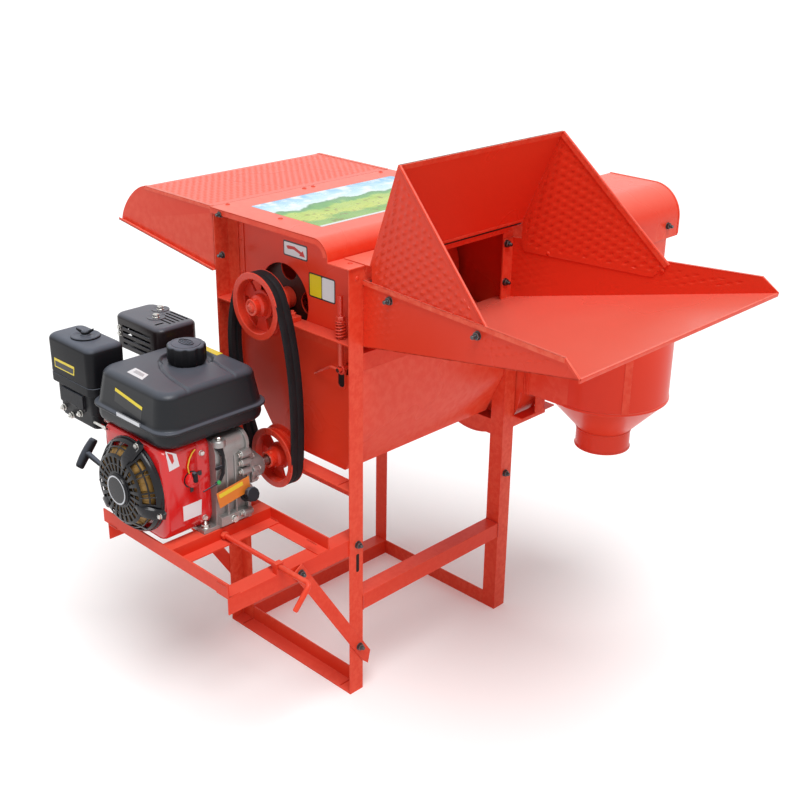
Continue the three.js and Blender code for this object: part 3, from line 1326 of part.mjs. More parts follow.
// Fan housing, impeller, cyclone and exhaust hood
function makeBlower() {
  const wall = sheet;
  const scrollOut = [
    ...arc(fanX, fanHeight, voluteRadius, 90, 360, 27), [fanX + voluteRadius, ductBottom],
    [ductStart - fit, ductBottom], [ductStart - fit, ductTop]];
  const inside = voluteRadius - wall;
  const scrollIn = [
    ...arc(fanX, fanHeight, inside, 90, 360, 27), [fanX + inside, ductBottom + wall],
    [ductStart + overrun, ductBottom + wall], [ductStart + overrun, ductTop - wall]];
  const shell = cut(prismY(scrollOut, fanStart, fanEnd), prismY(scrollIn, fanStart + wall, fanEnd - wall));
  const throat = rodY(fanX, fanHeight, inletRadius + wall, panelFarOuter + fit, fanStart + wall, 32);
  const eye = rodY(fanX, fanHeight, inletRadius, panelFarOuter - overrun, fanStart + 2 * wall, 32);
  const boss = rodY(fanX, fanHeight, fanBossRadius, fanEnd - wall, fanEnd + fanBossLength, 20);
  const bore = rodY(fanX, fanHeight, fanShaftRadius + fit,
    fanEnd - overrun, fanEnd + fanBossLength + overrun, 20);
  place('fan_housing', cut(join(shell, throat, boss), eye, bore), redPaint);

  const wheelEnd = fanEnd - wall - overrun;
  const wheelStart = wheelEnd - impellerWidth;
  const disc = rodY(fanX, fanHeight, impellerRadius, wheelEnd - bladeThickness, wheelEnd, 32);
  const hub = rodY(fanX, fanHeight, fanBossRadius, wheelStart, wheelEnd, 20);
  const blades = [];
  for (let i = 0; i < impellerBlades; i += 1) {
    const bladeLength = impellerRadius - fanBossRadius / 2;
    const blade = new THREE.BoxGeometry(bladeLength, impellerWidth, bladeThickness);
    blade.translate((impellerRadius + fanBossRadius / 2) / 2, (wheelStart + wheelEnd) / 2, 0);
    blade.rotateY((i / impellerBlades) * 2 * Math.PI);
    blade.translate(fanX, 0, fanHeight);
    blades.push(toSolid(blade));
  }
  place('fan_impeller', cut(join(disc, hub, blades),
    rodY(fanX, fanHeight, fanShaftRadius + fit, wheelStart - overrun, wheelEnd + overrun, 20)), darkRed);
  const pulleyStart = fanEnd + fanBossLength + farPulleyGap;
  place('fan_shaft', join(
    rodY(fanX, fanHeight, fanShaftRadius, wheelStart, pulleyStart + farPulleyWidth, 20),
    turnedY(fanX, fanHeight, grooveProfile(fanPulleyRadius, pulleyStart, farPulleyWidth, 1, 0))), steel);
  place('fan_belt', beltLoop(
    { x: shaftX, z: shaftHeight, radius: farDrumPulleyRadius - beltSink },
    { x: fanX, z: fanHeight, radius: fanPulleyRadius - beltSink },
    pulleyStart + farPulleyWidth / 2, fanBeltSlack, fanBeltSlack), beltRubber);

  place('cyclone', cyclone(), redPaint);
  place('exhaust_hood', exhaustHood(), redPaint);
}

function cyclone() {
  const wall = sheet;
  const collarTop = ductBottom - coneHeight;
  const collarBottom = collarTop - collarHeight;
  const sides = 40;
  const body = (inset, end) => join(
    rodZ(cycloneX, cycloneY, collarRadius - inset, collarBottom - end, collarTop + wall, sides),
    rodZ(cycloneX, cycloneY, collarRadius - inset, collarTop, ductBottom, sides, cycloneRadius - inset),
    rodZ(cycloneX, cycloneY, cycloneRadius - inset, ductBottom - fit, cycloneTop - inset, sides));
  const inlet = (inset, start) => block([ductStart - start, cycloneX], [fanStart + inset, fanEnd - inset],
    [ductBottom + inset, ductTop - inset]);
  const stack = (inset, end) => block(
    [cycloneX - stackBackReach + inset, cycloneX + stackFrontReach - inset],
    [cycloneY - stackNearReach + inset, cycloneY + stackFarReach - inset],
    [cycloneTop - wall - inset, stackTop + end]);
  return cut(join(body(0, 0), inlet(0, 0), stack(0, 0)), body(wall, overrun), inlet(wall, overrun),
    stack(wall, overrun));
}

// A barrel-backed cap over the stack, open towards the straw side and below
function exhaustHood() {
  const outerX = cycloneX + stackFrontReach + fit + sheet;
  const startX = cycloneX - exhaustBackReach;
  const startY = cycloneY - exhaustNearReach;
  const endY = cycloneY + exhaustFarReach;
  const skirt = stackTop - exhaustSkirt;
  const crown = (inset) => arc(outerX - exhaustArcRadius, exhaustTop - exhaustArcRadius,
    exhaustArcRadius - inset, 0, 90, 8);
  const outside = [[startX, exhaustTop], [startX, stackTop], [outerX, skirt], ...crown(0)];
  const inside = [[startX - overrun, exhaustTop - sheet], [startX - overrun, skirt - overrun],
    [outerX - sheet, skirt - overrun], ...crown(sheet)];
  return cut(prismY(outside, startY, endY), prismY(inside, startY + sheet, endY - sheet));
}

makeStand();
makePlatform();
makeBody();
makeRotor();
makeDrive();
makeEngine();
makeFeed();
makeBlower();

// The origin lies on the ground under the middle of the whole machine
const bounds = new THREE.Box3().setFromObject(assembly);
const group = new THREE.Group();
assembly.position.set(-(bounds.min.x + bounds.max.x) / 2, -(bounds.min.y + bounds.max.y) / 2, 0);
group.add(assembly);

export default group;
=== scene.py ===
import math

import bmesh
import bpy
from mathutils import Matrix, Vector


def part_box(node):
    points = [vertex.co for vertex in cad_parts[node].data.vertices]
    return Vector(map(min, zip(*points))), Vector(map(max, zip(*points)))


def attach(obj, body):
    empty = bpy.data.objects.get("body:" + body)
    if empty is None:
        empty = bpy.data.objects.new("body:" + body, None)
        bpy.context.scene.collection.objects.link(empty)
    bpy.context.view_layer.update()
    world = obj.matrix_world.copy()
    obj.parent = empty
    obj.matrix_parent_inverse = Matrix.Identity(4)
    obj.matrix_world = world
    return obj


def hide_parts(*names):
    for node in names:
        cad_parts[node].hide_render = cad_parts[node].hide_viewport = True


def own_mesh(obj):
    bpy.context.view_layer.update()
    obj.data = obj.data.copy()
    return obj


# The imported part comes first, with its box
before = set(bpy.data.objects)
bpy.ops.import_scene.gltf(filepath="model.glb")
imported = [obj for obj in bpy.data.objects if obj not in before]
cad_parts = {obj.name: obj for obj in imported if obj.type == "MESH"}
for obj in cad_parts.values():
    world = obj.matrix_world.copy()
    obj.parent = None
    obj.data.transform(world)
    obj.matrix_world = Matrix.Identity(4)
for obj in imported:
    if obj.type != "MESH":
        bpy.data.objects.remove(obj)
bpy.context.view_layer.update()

# Forms are written in millimetres from the lowest x and y of the stand's near legs, on the ground
MM = 0.001
DATUM = Vector((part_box("leg_d")[0].x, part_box("leg_a")[0].y, 0.0))
X, Y, Z = Vector((1, 0, 0)), Vector((0, 1, 0)), Vector((0, 0, 1))


def cad(node):
    """Lowest and highest corner of a CAD node, in millimetres from the datum."""
    low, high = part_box(node)
    return (low - DATUM) / MM, (high - DATUM) / MM


def middle_of(node):
    low, high = cad(node)
    return (low + high) / 2


def lerp(a, b, share):
    return a + (b - a) * share


def spread(start, end, count):
    return [lerp(start, end, i / (count - 1)) for i in range(count)]


def arc(u, v, radius, start, end, steps):
    """Points on an arc about (u, v), from start to end in degrees."""
    turns = [math.radians(turn) for turn in spread(start, end, steps + 1)]
    return [(u + radius * math.cos(turn), v + radius * math.sin(turn)) for turn in turns]


def rounded(low, high, corner, steps=6):
    """A rectangle with round corners, as (u, v) points."""
    (u0, v0), (u1, v1) = low, high
    return (
        arc(u1 - corner, v0 + corner, corner, -90, 0, steps)
        + arc(u1 - corner, v1 - corner, corner, 0, 90, steps)
        + arc(u0 + corner, v1 - corner, corner, 90, 180, steps)
        + arc(u0 + corner, v0 + corner, corner, 180, 270, steps)
    )


def lift(axis, u, v, level):
    """A point of a flat outline, at a level along the axis x, y or z."""
    return Vector({"x": (level, u, v), "y": (u, level, v), "z": (u, v, level)}[axis])


def rectangle(u0, v0, u1, v1):
    return [(u0, v0), (u1, v0), (u1, v1), (u0, v1)]


def laid(axis, outline, level):
    return [lift(axis, u, v, level) for u, v in outline]


def placed(at, side, up, outline):
    """An outline spanned by two directions from a point."""
    return [at + side * a + up * b for a, b in outline]


def circle(count):
    return [(math.cos(t), math.sin(t)) for t in spread(0, 2 * math.pi, count + 1)[:-1]]


def shrunk(low, high, by, corner, steps):
    """The plan of a box, drawn in on all sides and with round corners."""
    return rounded((low.x + by, low.y + by), (high.x - by, high.y - by), corner, steps)


def outward(turn):
    """Direction away from a cross axis, by its turn in radians."""
    return Vector((math.cos(turn), 0, math.sin(turn)))


def basis(direction):
    along = Vector(direction).normalized()
    side = along.orthogonal().normalized()
    return side, along.cross(side), along


class Form:
    """Corners and faces in millimetres from the datum, gathered for one mesh."""

    def __init__(self):
        self.points, self.faces, self.paints = [], [], []

    def add(self, points, faces, paint=0):
        start = len(self.points)
        self.points.extend(Vector(p) for p in points)
        self.faces.extend([start + i for i in face] for face in faces)
        self.paints.extend([paint] * len(faces))
        return self

    def loft(self, loops, paint=0, closed=False):
        """A skin over like loops, with flat ends unless it closes on itself."""
        count, rows = len(loops[0]), len(loops)
        points = [p for loop in loops for p in loop]
        faces = []
        for row in range(rows if closed else rows - 1):
            here, there = row * count, ((row + 1) % rows) * count
            for i in range(count):
                j = (i + 1) % count
                faces.append((here + i, here + j, there + j, there + i))
        if not closed:
            faces.append(tuple(reversed(range(count))))
            faces.append(tuple(range(len(points) - count, len(points))))
        return self.add(points, faces, paint)

    def prism(self, outline, axis, start, end, paint=0):
        return self.loft([laid(axis, outline, level) for level in (start, end)], paint)

    def block(self, low, high):
        return self.prism(rectangle(*low[:2], *high[:2]), "z", low[2], high[2])

    def turned(self, centre, direction, profile, sides=48, paint=0, closed=False, start=0.0):
        """A turned body: the profile holds (radius, distance along the direction) pairs."""
        side, up, along = basis(direction)
        turns = [start + 2 * math.pi * i / sides for i in range(sides)]
        loops = [
            [Vector(centre) + along * at + (side * math.cos(t) + up * math.sin(t)) * radius for t in turns]
            for radius, at in profile
        ]
        return self.loft(loops, paint, closed)

    def tube(self, path, radius, sides=12):
        """A round bar along a path; radius is one number or one for each point."""
        path = [Vector(p) for p in path]
        radii = radius if isinstance(radius, list) else [radius] * len(path)
        side = basis(path[1] - path[0])[0]
        loops = []
        for i, point in enumerate(path):
            along = (path[min(i + 1, len(path) - 1)] - path[max(i - 1, 0)]).normalized()
            side = (side - along * side.dot(along)).normalized()
            up = along.cross(side)
            turns = [2 * math.pi * k / sides for k in range(sides)]
            loops.append([point + (side * math.cos(t) + up * math.sin(t)) * radii[i] for t in turns])
        return self.loft(loops)

    def sheet(self, columns, rows, place, paint=0):
        """A thin plate whose faces follow place(column, row, face) over a grid."""
        loops = [
            [place(s, t, 0) for t in rows] + [place(s, t, 1) for t in reversed(rows)] for s in columns
        ]
        return self.loft(loops, paint)

    def mirrored(self, other=None):
        """Adds a copy on the other side of the middle of the threshing drum."""
        source = other or self
        points = [Vector((p.x, STAND_WIDTH - p.y, p.z)) for p in source.points]
        start = len(self.points)
        faces = [[start + i for i in reversed(face)] for face in source.faces]
        paints = list(source.paints)
        self.points.extend(points)
        self.faces.extend(faces)
        self.paints.extend(paints)
        return self


STAND_LENGTH = cad("leg_a")[1].x
STAND_WIDTH = cad("leg_c")[1].y
PANEL = cad("side_panel_near")[0].y
FIT = 0.3


def mesh_of(name, form):
    """The form as a mesh in metres, with its faces pointing out."""
    mesh = bpy.data.meshes.new(name)
    mesh.from_pydata([DATUM + p * MM for p in form.points], [], form.faces)
    bm = bmesh.new()
    bm.from_mesh(mesh)
    bmesh.ops.recalc_face_normals(bm, faces=bm.faces)
    bm.to_mesh(mesh)
    bm.free()
    return mesh


def piece(name, form, materials, body="frame", stands_for=(), slot=None, bevel=0.0, angle=35, segments=2):
    """One mesh object, smooth but for its sharp edges, that rides on a body."""
    mesh = mesh_of(name, form)
    mesh.polygons.foreach_set("material_index", form.paints)
    mesh.shade_smooth()
    for material in materials if isinstance(materials, (list, tuple)) else [materials]:
        mesh.materials.append(material)
    obj = bpy.data.objects.new(name, mesh)
    bpy.context.scene.collection.objects.link(obj)
    if bevel:
        rounding(obj, bevel, segments, angle)
    else:
        mesh.set_sharp_from_angle(angle=math.radians(angle))
    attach(obj, body)
    if stands_for:
        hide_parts(*([stands_for] if isinstance(stands_for, str) else stands_for))
    return obj


def rounding(obj, width, segments, angle):
    bevel = obj.modifiers.new("edge", "BEVEL")
    bevel.width = width * MM
    bevel.segments = segments
    bevel.limit_method = "ANGLE"
    bevel.angle_limit = math.radians(angle)
    bevel.harden_normals = True
    bevel.use_clamp_overlap = True


def carve(obj, form):
    """Cuts closed forms out of a piece for good."""
    cutter = bpy.data.objects.new("cutter", mesh_of("cutter", form))
    bpy.context.scene.collection.objects.link(cutter)
    cut = obj.modifiers.new("cut", "BOOLEAN")
    cut.operation, cut.solver, cut.object = "DIFFERENCE", "EXACT", cutter
    bpy.context.view_layer.update()
    carved = bpy.data.meshes.new_from_object(obj.evaluated_get(bpy.context.evaluated_depsgraph_get()))
    obj.modifiers.clear()
    obj.data = carved
    bpy.data.objects.remove(cutter)


# Materials


def node(tree, kind, inputs=None, **settings):
    made = tree.nodes.new(kind)
    for key, value in settings.items():
        setattr(made, key, value)
    for key, value in (inputs or {}).items():
        if isinstance(value, bpy.types.NodeSocket):
            tree.links.new(value, made.inputs[key])
        else:
            made.inputs[key].default_value = value
    return made


def rgba(colour):
    return (*colour, 1.0)


def noise(tree, coords, scale, detail=3.0, roughness=0.55):
    return node(tree, "ShaderNodeTexNoise", {
        "Vector": coords, "Scale": scale, "Detail": detail, "Roughness": roughness}).outputs["Fac"]


def ranged(tree, value, band, target=(0.0, 1.0)):
    """The value with a band of it stretched to a target range."""
    return node(tree, "ShaderNodeMapRange", {
        "Value": value, "From Min": band[0], "From Max": band[1], "To Min": target[0], "To Max": target[1],
    }).outputs["Result"]


def maths(tree, operation, first, second=0.5):
    return node(tree, "ShaderNodeMath", {0: first, 1: second}, operation=operation).outputs[0]


def facing(tree, axis):
    """One part of the way a surface faces."""
    normal = node(tree, "ShaderNodeNewGeometry").outputs["Normal"]
    return node(tree, "ShaderNodeSeparateXYZ", {0: normal}).outputs[axis]


def mixed(tree, share, first, second):
    made = node(tree, "ShaderNodeMix", data_type="RGBA")
    for socket, value in ((0, share), (6, first), (7, second)):
        if isinstance(value, bpy.types.NodeSocket):
            tree.links.new(value, made.inputs[socket])
        else:
            made.inputs[socket].default_value = value
    return made.outputs[2]


# Bands of the noise and of the edge and facing values that each layer of a finish takes up
TONE_BAND, GLOSS_BAND = (0.30, 0.72), (0.3, 0.7)
EDGE_BAND, EDGE_WEAR_AND_HIGHLIGHT_BAND, EDGE_WEAR_AND_HIGHLIGHT_LEAST = (0.53, 0.60), (0.4, 0.62), 0.2
DUST_AND_SHEEN_BAND, DUST_AND_SHEEN_PATCHES, DUST_AND_SHEEN_UNEVEN = (0.35, 0.98), (0.25, 0.75), (0.8, 1.15)
END_SHADE_BAND = (0.7, 0.95)
FINE_TIMES = 22
COAT_ROUGHNESS = 0.12


def finish(name, colour, shade, roughness, metallic=0.0, coat=0.0, patch=9.0, bumps=(), edge_wear_and_highlight=None,
           edge_wear_and_highlight_share=0.5, gloss=0.5, ends=None, dust_and_sheen=None, dust_and_sheen_share=0.25):
    """A painted, moulded or cast finish: two tones, uneven gloss, bumps, edges lightened by wear and a
    painted highlight, dust and a painted sheen on faces that look up, and painted shade on faces that look
    along y.
    """
    material = bpy.data.materials.new(name)
    material.use_nodes = True
    tree = material.node_tree
    shader = tree.nodes["Principled BSDF"]
    coords = node(tree, "ShaderNodeTexCoord").outputs["Object"]
    broad = noise(tree, coords, patch)
    fine = noise(tree, coords, patch * FINE_TIMES, 4.0)
    tone = mixed(tree, ranged(tree, broad, TONE_BAND), rgba(colour), rgba(shade))
    # Edges take a lighter colour: partly wear, partly a painted highlight along edges and folds
    if edge_wear_and_highlight:
        edges = node(tree, "ShaderNodeNewGeometry").outputs["Pointiness"]
        worn = maths(tree, "MULTIPLY", ranged(tree, edges, EDGE_BAND),
                     ranged(tree, fine, EDGE_WEAR_AND_HIGHLIGHT_BAND, (EDGE_WEAR_AND_HIGHLIGHT_LEAST, edge_wear_and_highlight_share)))
        tone = mixed(tree, worn, tone, rgba(edge_wear_and_highlight))
    # Faces that look up grow lighter: dust, and a painted sheen standing in for light from above
    if dust_and_sheen:
        lying = ranged(tree, facing(tree, "Z"), DUST_AND_SHEEN_BAND, (0.0, dust_and_sheen_share))
        amount = maths(tree, "MULTIPLY", lying, ranged(tree, broad, DUST_AND_SHEEN_PATCHES, DUST_AND_SHEEN_UNEVEN))
        tone = mixed(tree, amount, tone, rgba(dust_and_sheen))
    # Painted shade: faces that look along y take the ends colour, dark as the drum's ends in shadow behind
    # the side panels
    if ends:
        across = maths(tree, "ABSOLUTE", facing(tree, "Y"))
        tone = mixed(tree, ranged(tree, across, END_SHADE_BAND), tone, rgba(ends))
    tree.links.new(tone, shader.inputs["Base Color"])
    tree.links.new(ranged(tree, broad, GLOSS_BAND, roughness), shader.inputs["Roughness"])
    shader.inputs["Specular IOR Level"].default_value = gloss
    shader.inputs["Metallic"].default_value = metallic
    shader.inputs["Coat Weight"].default_value = coat
    shader.inputs["Coat Roughness"].default_value = COAT_ROUGHNESS
    normal = None
    for scale, strength, depth in bumps:
        bump = node(tree, "ShaderNodeBump", {
            "Height": noise(tree, coords, scale, 2.0), "Strength": strength, "Distance": depth * MM})
        if normal:
            tree.links.new(normal, bump.inputs["Normal"])
        normal = bump.outputs["Normal"]
    if normal:
        tree.links.new(normal, shader.inputs["Normal"])
    return material


ORANGE_PEEL = (900.0, 0.05, 0.12)
OIL_CAN = (5.0, 0.30, 2.4)
LABEL_SKIN = ((400.0, 0.1, 0.1),)
# Colours for faces that look up: a pale painted sheen on red paint, and grey dust with a painted sheen on
# black parts
PALE_SHEEN, GREY_DUST_AND_SHEEN = (0.98, 0.46, 0.36), (0.26, 0.29, 0.36)
RED, RED_SHADE = (0.740, 0.046, 0.018), (0.690, 0.039, 0.015)
enamel = finish("frame_enamel", RED, RED_SHADE, (0.30, 0.38), gloss=0.17, patch=4.0,
                bumps=(ORANGE_PEEL, (40.0, 0.10, 0.3)), edge_wear_and_highlight=(0.88, 0.14, 0.07), edge_wear_and_highlight_share=0.6,
                dust_and_sheen=PALE_SHEEN, dust_and_sheen_share=0.10)
sheet_enamel = finish("sheet_enamel", (0.780, 0.050, 0.020), (0.745, 0.044, 0.017), (0.25, 0.32), gloss=0.20,
                      patch=2.5, bumps=(ORANGE_PEEL, OIL_CAN), edge_wear_and_highlight=(0.92, 0.18, 0.10), edge_wear_and_highlight_share=0.6,
                      dust_and_sheen=PALE_SHEEN)
# A lighter red than the frame's enamel: painted light that lifts the drum, concave and fan out of the hood's
# shadow; the dark ends colour is painted shade on the drum's ends
lit_drum_enamel = finish("lit_drum_enamel", (0.90, 0.060, 0.026), (0.84, 0.052, 0.022), (0.36, 0.5), gloss=0.3,
                     bumps=(ORANGE_PEEL, (60.0, 0.3, 0.4)), edge_wear_and_highlight=(0.55, 0.24, 0.16),
                     ends=(0.05, 0.010, 0.007))
pulley_enamel = finish("pulley_enamel", (0.680, 0.034, 0.014), (0.61, 0.027, 0.011), (0.24, 0.34), gloss=0.4,
                       bumps=(ORANGE_PEEL, (120.0, 0.2, 0.25)), edge_wear_and_highlight=(0.84, 0.15, 0.08))
weld_enamel = finish("weld_enamel", (0.60, 0.030, 0.013), (0.48, 0.022, 0.010), (0.30, 0.46), gloss=0.35,
                     bumps=((300.0, 0.6, 0.6),), edge_wear_and_highlight=(0.8, 0.12, 0.06))
engine_enamel = finish("engine_enamel", (0.640, 0.007, 0.008), (0.59, 0.005, 0.007), (0.16, 0.22), gloss=0.5,
                       coat=0.3, patch=4.0, bumps=((900.0, 0.03, 0.1), (9.0, 0.15, 0.8)),
                       edge_wear_and_highlight=(0.85, 0.05, 0.05), edge_wear_and_highlight_share=0.3)
satin_black = finish("satin_black", (0.010, 0.011, 0.014), (0.014, 0.015, 0.018), (0.30, 0.38), gloss=0.26,
                     patch=6.0, bumps=((1500.0, 0.10, 0.1), (9.0, 0.15, 0.8)), edge_wear_and_highlight=(0.05, 0.05, 0.06),
                     edge_wear_and_highlight_share=0.4, dust_and_sheen=GREY_DUST_AND_SHEEN, dust_and_sheen_share=0.30)
black_plastic = finish("black_plastic", (0.008, 0.008, 0.010), (0.012, 0.012, 0.014), (0.36, 0.46),
                       gloss=0.14, patch=9.0, bumps=((2200.0, 0.2, 0.12),), edge_wear_and_highlight=(0.06, 0.06, 0.07),
                       edge_wear_and_highlight_share=0.4, dust_and_sheen=GREY_DUST_AND_SHEEN, dust_and_sheen_share=0.42)
starter_black = finish("starter_black", (0.007, 0.007, 0.009), (0.010, 0.010, 0.012), (0.18, 0.26),
                       gloss=0.30, patch=9.0, bumps=((900.0, 0.08, 0.1),), edge_wear_and_highlight=(0.08, 0.08, 0.09),
                       edge_wear_and_highlight_share=0.5)
guard_black = finish("guard_black", (0.020, 0.011, 0.012), (0.012, 0.009, 0.010), (0.26, 0.36), gloss=0.26,
                     patch=6.0, bumps=((900.0, 0.12, 0.12), (30.0, 0.15, 0.5)), edge_wear_and_highlight=(0.07, 0.06, 0.06),
                     dust_and_sheen=GREY_DUST_AND_SHEEN, dust_and_sheen_share=0.36)
cast_alloy = finish("cast_alloy", (0.36, 0.355, 0.35), (0.25, 0.245, 0.24), (0.38, 0.52), metallic=0.7,
                    patch=18.0, bumps=((900.0, 0.35, 0.3), (160.0, 0.2, 0.4)), edge_wear_and_highlight=(0.62, 0.60, 0.57))
zinc = finish("zinc", (0.66, 0.65, 0.62), (0.50, 0.49, 0.46), (0.20, 0.36), metallic=1.0, patch=60.0,
              bumps=((500.0, 0.15, 0.1),), edge_wear_and_highlight=(0.85, 0.84, 0.8))
dark_steel = finish("dark_steel", (0.085, 0.085, 0.09), (0.05, 0.048, 0.048), (0.28, 0.42), metallic=0.9,
                    patch=60.0, bumps=((500.0, 0.3, 0.15),), edge_wear_and_highlight=(0.3, 0.3, 0.3))
turned_steel = finish("turned_steel", (0.50, 0.49, 0.48), (0.34, 0.30, 0.27), (0.22, 0.4), metallic=1.0,
                      patch=40.0, bumps=((800.0, 0.2, 0.1),))
rubber = finish("belt_rubber", (0.005, 0.005, 0.006), (0.010, 0.010, 0.012), (0.55, 0.70), gloss=0.18,
                patch=30.0, bumps=((1600.0, 0.5, 0.2), (260.0, 0.3, 0.3)), edge_wear_and_highlight=(0.05, 0.05, 0.055))
screen_ochre = finish("screen_ochre", (0.34, 0.19, 0.045), (0.20, 0.11, 0.03), (0.34, 0.5), metallic=0.4,
                      patch=30.0, bumps=((700.0, 0.3, 0.2),))
# Painted shade: a near-black colour for thin plates laid where slots, seams and openings lie in shadow
painted_shade = finish("painted_shade", (0.020, 0.007, 0.006), (0.012, 0.005, 0.005), (0.6, 0.8), gloss=0.2,
                     bumps=((90.0, 0.3, 0.4),))
VINYL_GLOSS, INK_GLOSS = (0.3, 0.42), (0.35, 0.5)
vinyl_white = finish("vinyl_white", (0.78, 0.78, 0.80), (0.72, 0.72, 0.75), VINYL_GLOSS, bumps=LABEL_SKIN)
vinyl_yellow = finish("vinyl_yellow", (0.82, 0.64, 0.02), (0.76, 0.57, 0.02), VINYL_GLOSS, bumps=LABEL_SKIN)
vinyl_black = finish("vinyl_black", (0.012, 0.012, 0.014), (0.02, 0.02, 0.02), INK_GLOSS, bumps=LABEL_SKIN)
vinyl_red = finish("vinyl_red", (0.62, 0.02, 0.015), (0.55, 0.02, 0.015), INK_GLOSS, bumps=LABEL_SKIN)
tag_orange = finish("tag_orange", (0.78, 0.24, 0.02), (0.68, 0.19, 0.02), INK_GLOSS, bumps=LABEL_SKIN)
silver_foil = finish("silver_foil", (0.62, 0.63, 0.66), (0.50, 0.51, 0.54), (0.24, 0.36), metallic=0.8,
                     bumps=LABEL_SKIN)
lead_yellow = finish("lead_yellow", (0.80, 0.48, 0.03), (0.7, 0.4, 0.02), (0.3, 0.45), bumps=LABEL_SKIN)
green_mark = finish("green_mark", (0.03, 0.42, 0.10), (0.02, 0.36, 0.08), (0.3, 0.4), bumps=LABEL_SKIN)


PICTURE_BANDS = [
    (0.0, (0.22, 0.52, 0.82)), (0.20, (0.50, 0.76, 0.90)), (0.34, (0.72, 0.86, 0.88)),
    (0.38, (0.10, 0.30, 0.12)), (0.46, (0.16, 0.42, 0.10)), (0.50, (0.42, 0.60, 0.10)),
    (0.74, (0.62, 0.70, 0.12)), (0.82, (0.20, 0.42, 0.08)), (1.0, (0.30, 0.52, 0.10))]
CLOUD, CROP, FURROW = (0.88, 0.93, 0.96), (0.24, 0.16, 0.05), (0.12, 0.34, 0.05)


def field_picture(front, rear):
    """The generic picture on the cover: sky, hills and crop rows, all from nodes."""
    material = bpy.data.materials.new("field_picture")
    material.use_nodes = True
    tree = material.node_tree
    shader = tree.nodes["Principled BSDF"]
    coords = node(tree, "ShaderNodeTexCoord").outputs["Object"]
    down = ranged(tree, node(tree, "ShaderNodeSeparateXYZ", {0: coords}).outputs["X"], (rear, front))
    ridge = ranged(tree, noise(tree, coords, 16.0, 4.0), (0.3, 0.7), (-0.09, 0.09))
    bands = node(tree, "ShaderNodeValToRGB", {"Fac": maths(tree, "ADD", down, ridge)})
    ramp = bands.color_ramp
    while len(ramp.elements) < len(PICTURE_BANDS):
        ramp.elements.new(0.5)
    for element, (at, colour) in zip(ramp.elements, PICTURE_BANDS):
        element.position = at
        element.color = rgba(colour)
    cloud = ranged(tree, noise(tree, coords, 26.0, 5.0), (0.48, 0.62), (0.0, 0.85))
    sky = ranged(tree, down, (0.30, 0.36), (1.0, 0.0))
    crops = ranged(tree, noise(tree, coords, 60.0, 4.0), (0.58, 0.64), (0.0, 0.8))
    field = ranged(tree, down, (0.48, 0.56))
    wavy = {"Vector": coords, "Scale": 40.0, "Distortion": 3.0, "Detail": 2.0}
    waves = node(tree, "ShaderNodeTexWave", wavy, bands_direction="Y").outputs["Fac"]
    rows = ranged(tree, waves, (0.55, 0.8), (0.0, 0.45))
    picture = bands.outputs["Color"]
    for share, where, colour in ((cloud, sky, CLOUD), (crops, field, CROP), (rows, field, FURROW)):
        picture = mixed(tree, maths(tree, "MULTIPLY", share, where), picture, rgba(colour))
    tree.links.new(picture, shader.inputs["Base Color"])
    gloss = ranged(tree, noise(tree, coords, 30.0), GLOSS_BAND, (0.22, 0.36))
    tree.links.new(gloss, shader.inputs["Roughness"])
    bump = node(tree, "ShaderNodeBump",
                {"Height": noise(tree, coords, 9.0), "Strength": 0.25, "Distance": MM})
    tree.links.new(bump.outputs["Normal"], shader.inputs["Normal"])
    return material


# Small hardware
def bolt(form, point, direction, size, stub=0.0):
    """A hexagon head or nut on a washer, with a stub of thread where one shows."""
    washer, head = size * 0.18, size * 0.72
    plate = [(size * 1.02, 0), (size * 1.02, washer * 0.7), (size * 0.94, washer)]
    hexagon = [(size * 0.84, washer), (size * 0.92, washer + 0.8), (size * 0.92, washer + head - 0.9),
               (size * 0.76, washer + head)]
    form.turned(point, direction, plate, 28)
    form.turned(point, direction, hexagon, 6, start=0.3)
    if stub:
        crests, at = thread(size * 0.5, size * 0.43, washer + head, washer + head + stub, 1.2)
        profile = [(size * 0.5, washer + head * 0.5), *crests, (size * 0.36, at + 0.5)]
        form.turned(point, direction, profile, 16)


def thread(crest, root, start, end, pitch):
    """Profile points of a thread, and the level at which it stops."""
    points, at = [], start
    while at < end:
        points += [(crest, at), (root, at + pitch / 2)]
        at += pitch
    return points, at


def rivet(form, point, direction, radius):
    """A low round head."""
    profile = [(radius * math.cos(t), radius * 0.5 * math.sin(t) - 0.1)
               for t in spread(0, math.pi * 0.46, 6)]
    form.turned(point, direction, profile, 20)


def weld(form, start, end, radius):
    """A rippled bead laid in a corner."""
    start, end = Vector(start), Vector(end)
    count = max(4, int((end - start).length / 1.6))
    path = [start.lerp(end, i / count) for i in range(count + 1)]
    radii = [radius * (0.86 + 0.16 * math.sin(i * 1.9) + 0.05 * math.sin(i * 0.7)) for i in range(count + 1)]
    radii[0] = radii[-1] = radius * 0.5
    form.tube(path, radii, 8)


def red_sheet(name, form, **more):
    piece(name, form, sheet_enamel, slot="sheet_red", **more)


def hardware(name, form, material, bevel):
    """Loose fasteners as one piece."""
    piece(name, form, material, slot="shaft_steel", bevel=bevel, segments=1)


def smooth(value):
    value = min(max(value, 0.0), 1.0)
    return value * value * (3 - 2 * value)


def dash(u, v, pitch=(17.0, 10.0), size=(10.5, 5.0), height=1.1):
    """Height of a pressed pattern of short staggered dashes."""
    row = math.floor(v / pitch[1])
    across = ((u / pitch[0] + 0.5 * (row % 2)) % 1.0 - 0.5) * pitch[0]
    along = (v / pitch[1] % 1.0 - 0.5) * pitch[1]
    reach = math.hypot(across / size[0] * 2, along / size[1] * 2)
    return height * smooth(1.35 - reach)


# CAD nodes whose shape is right stay, with rounded edges and a finish
MERGE_REACH = 0.02 * MM


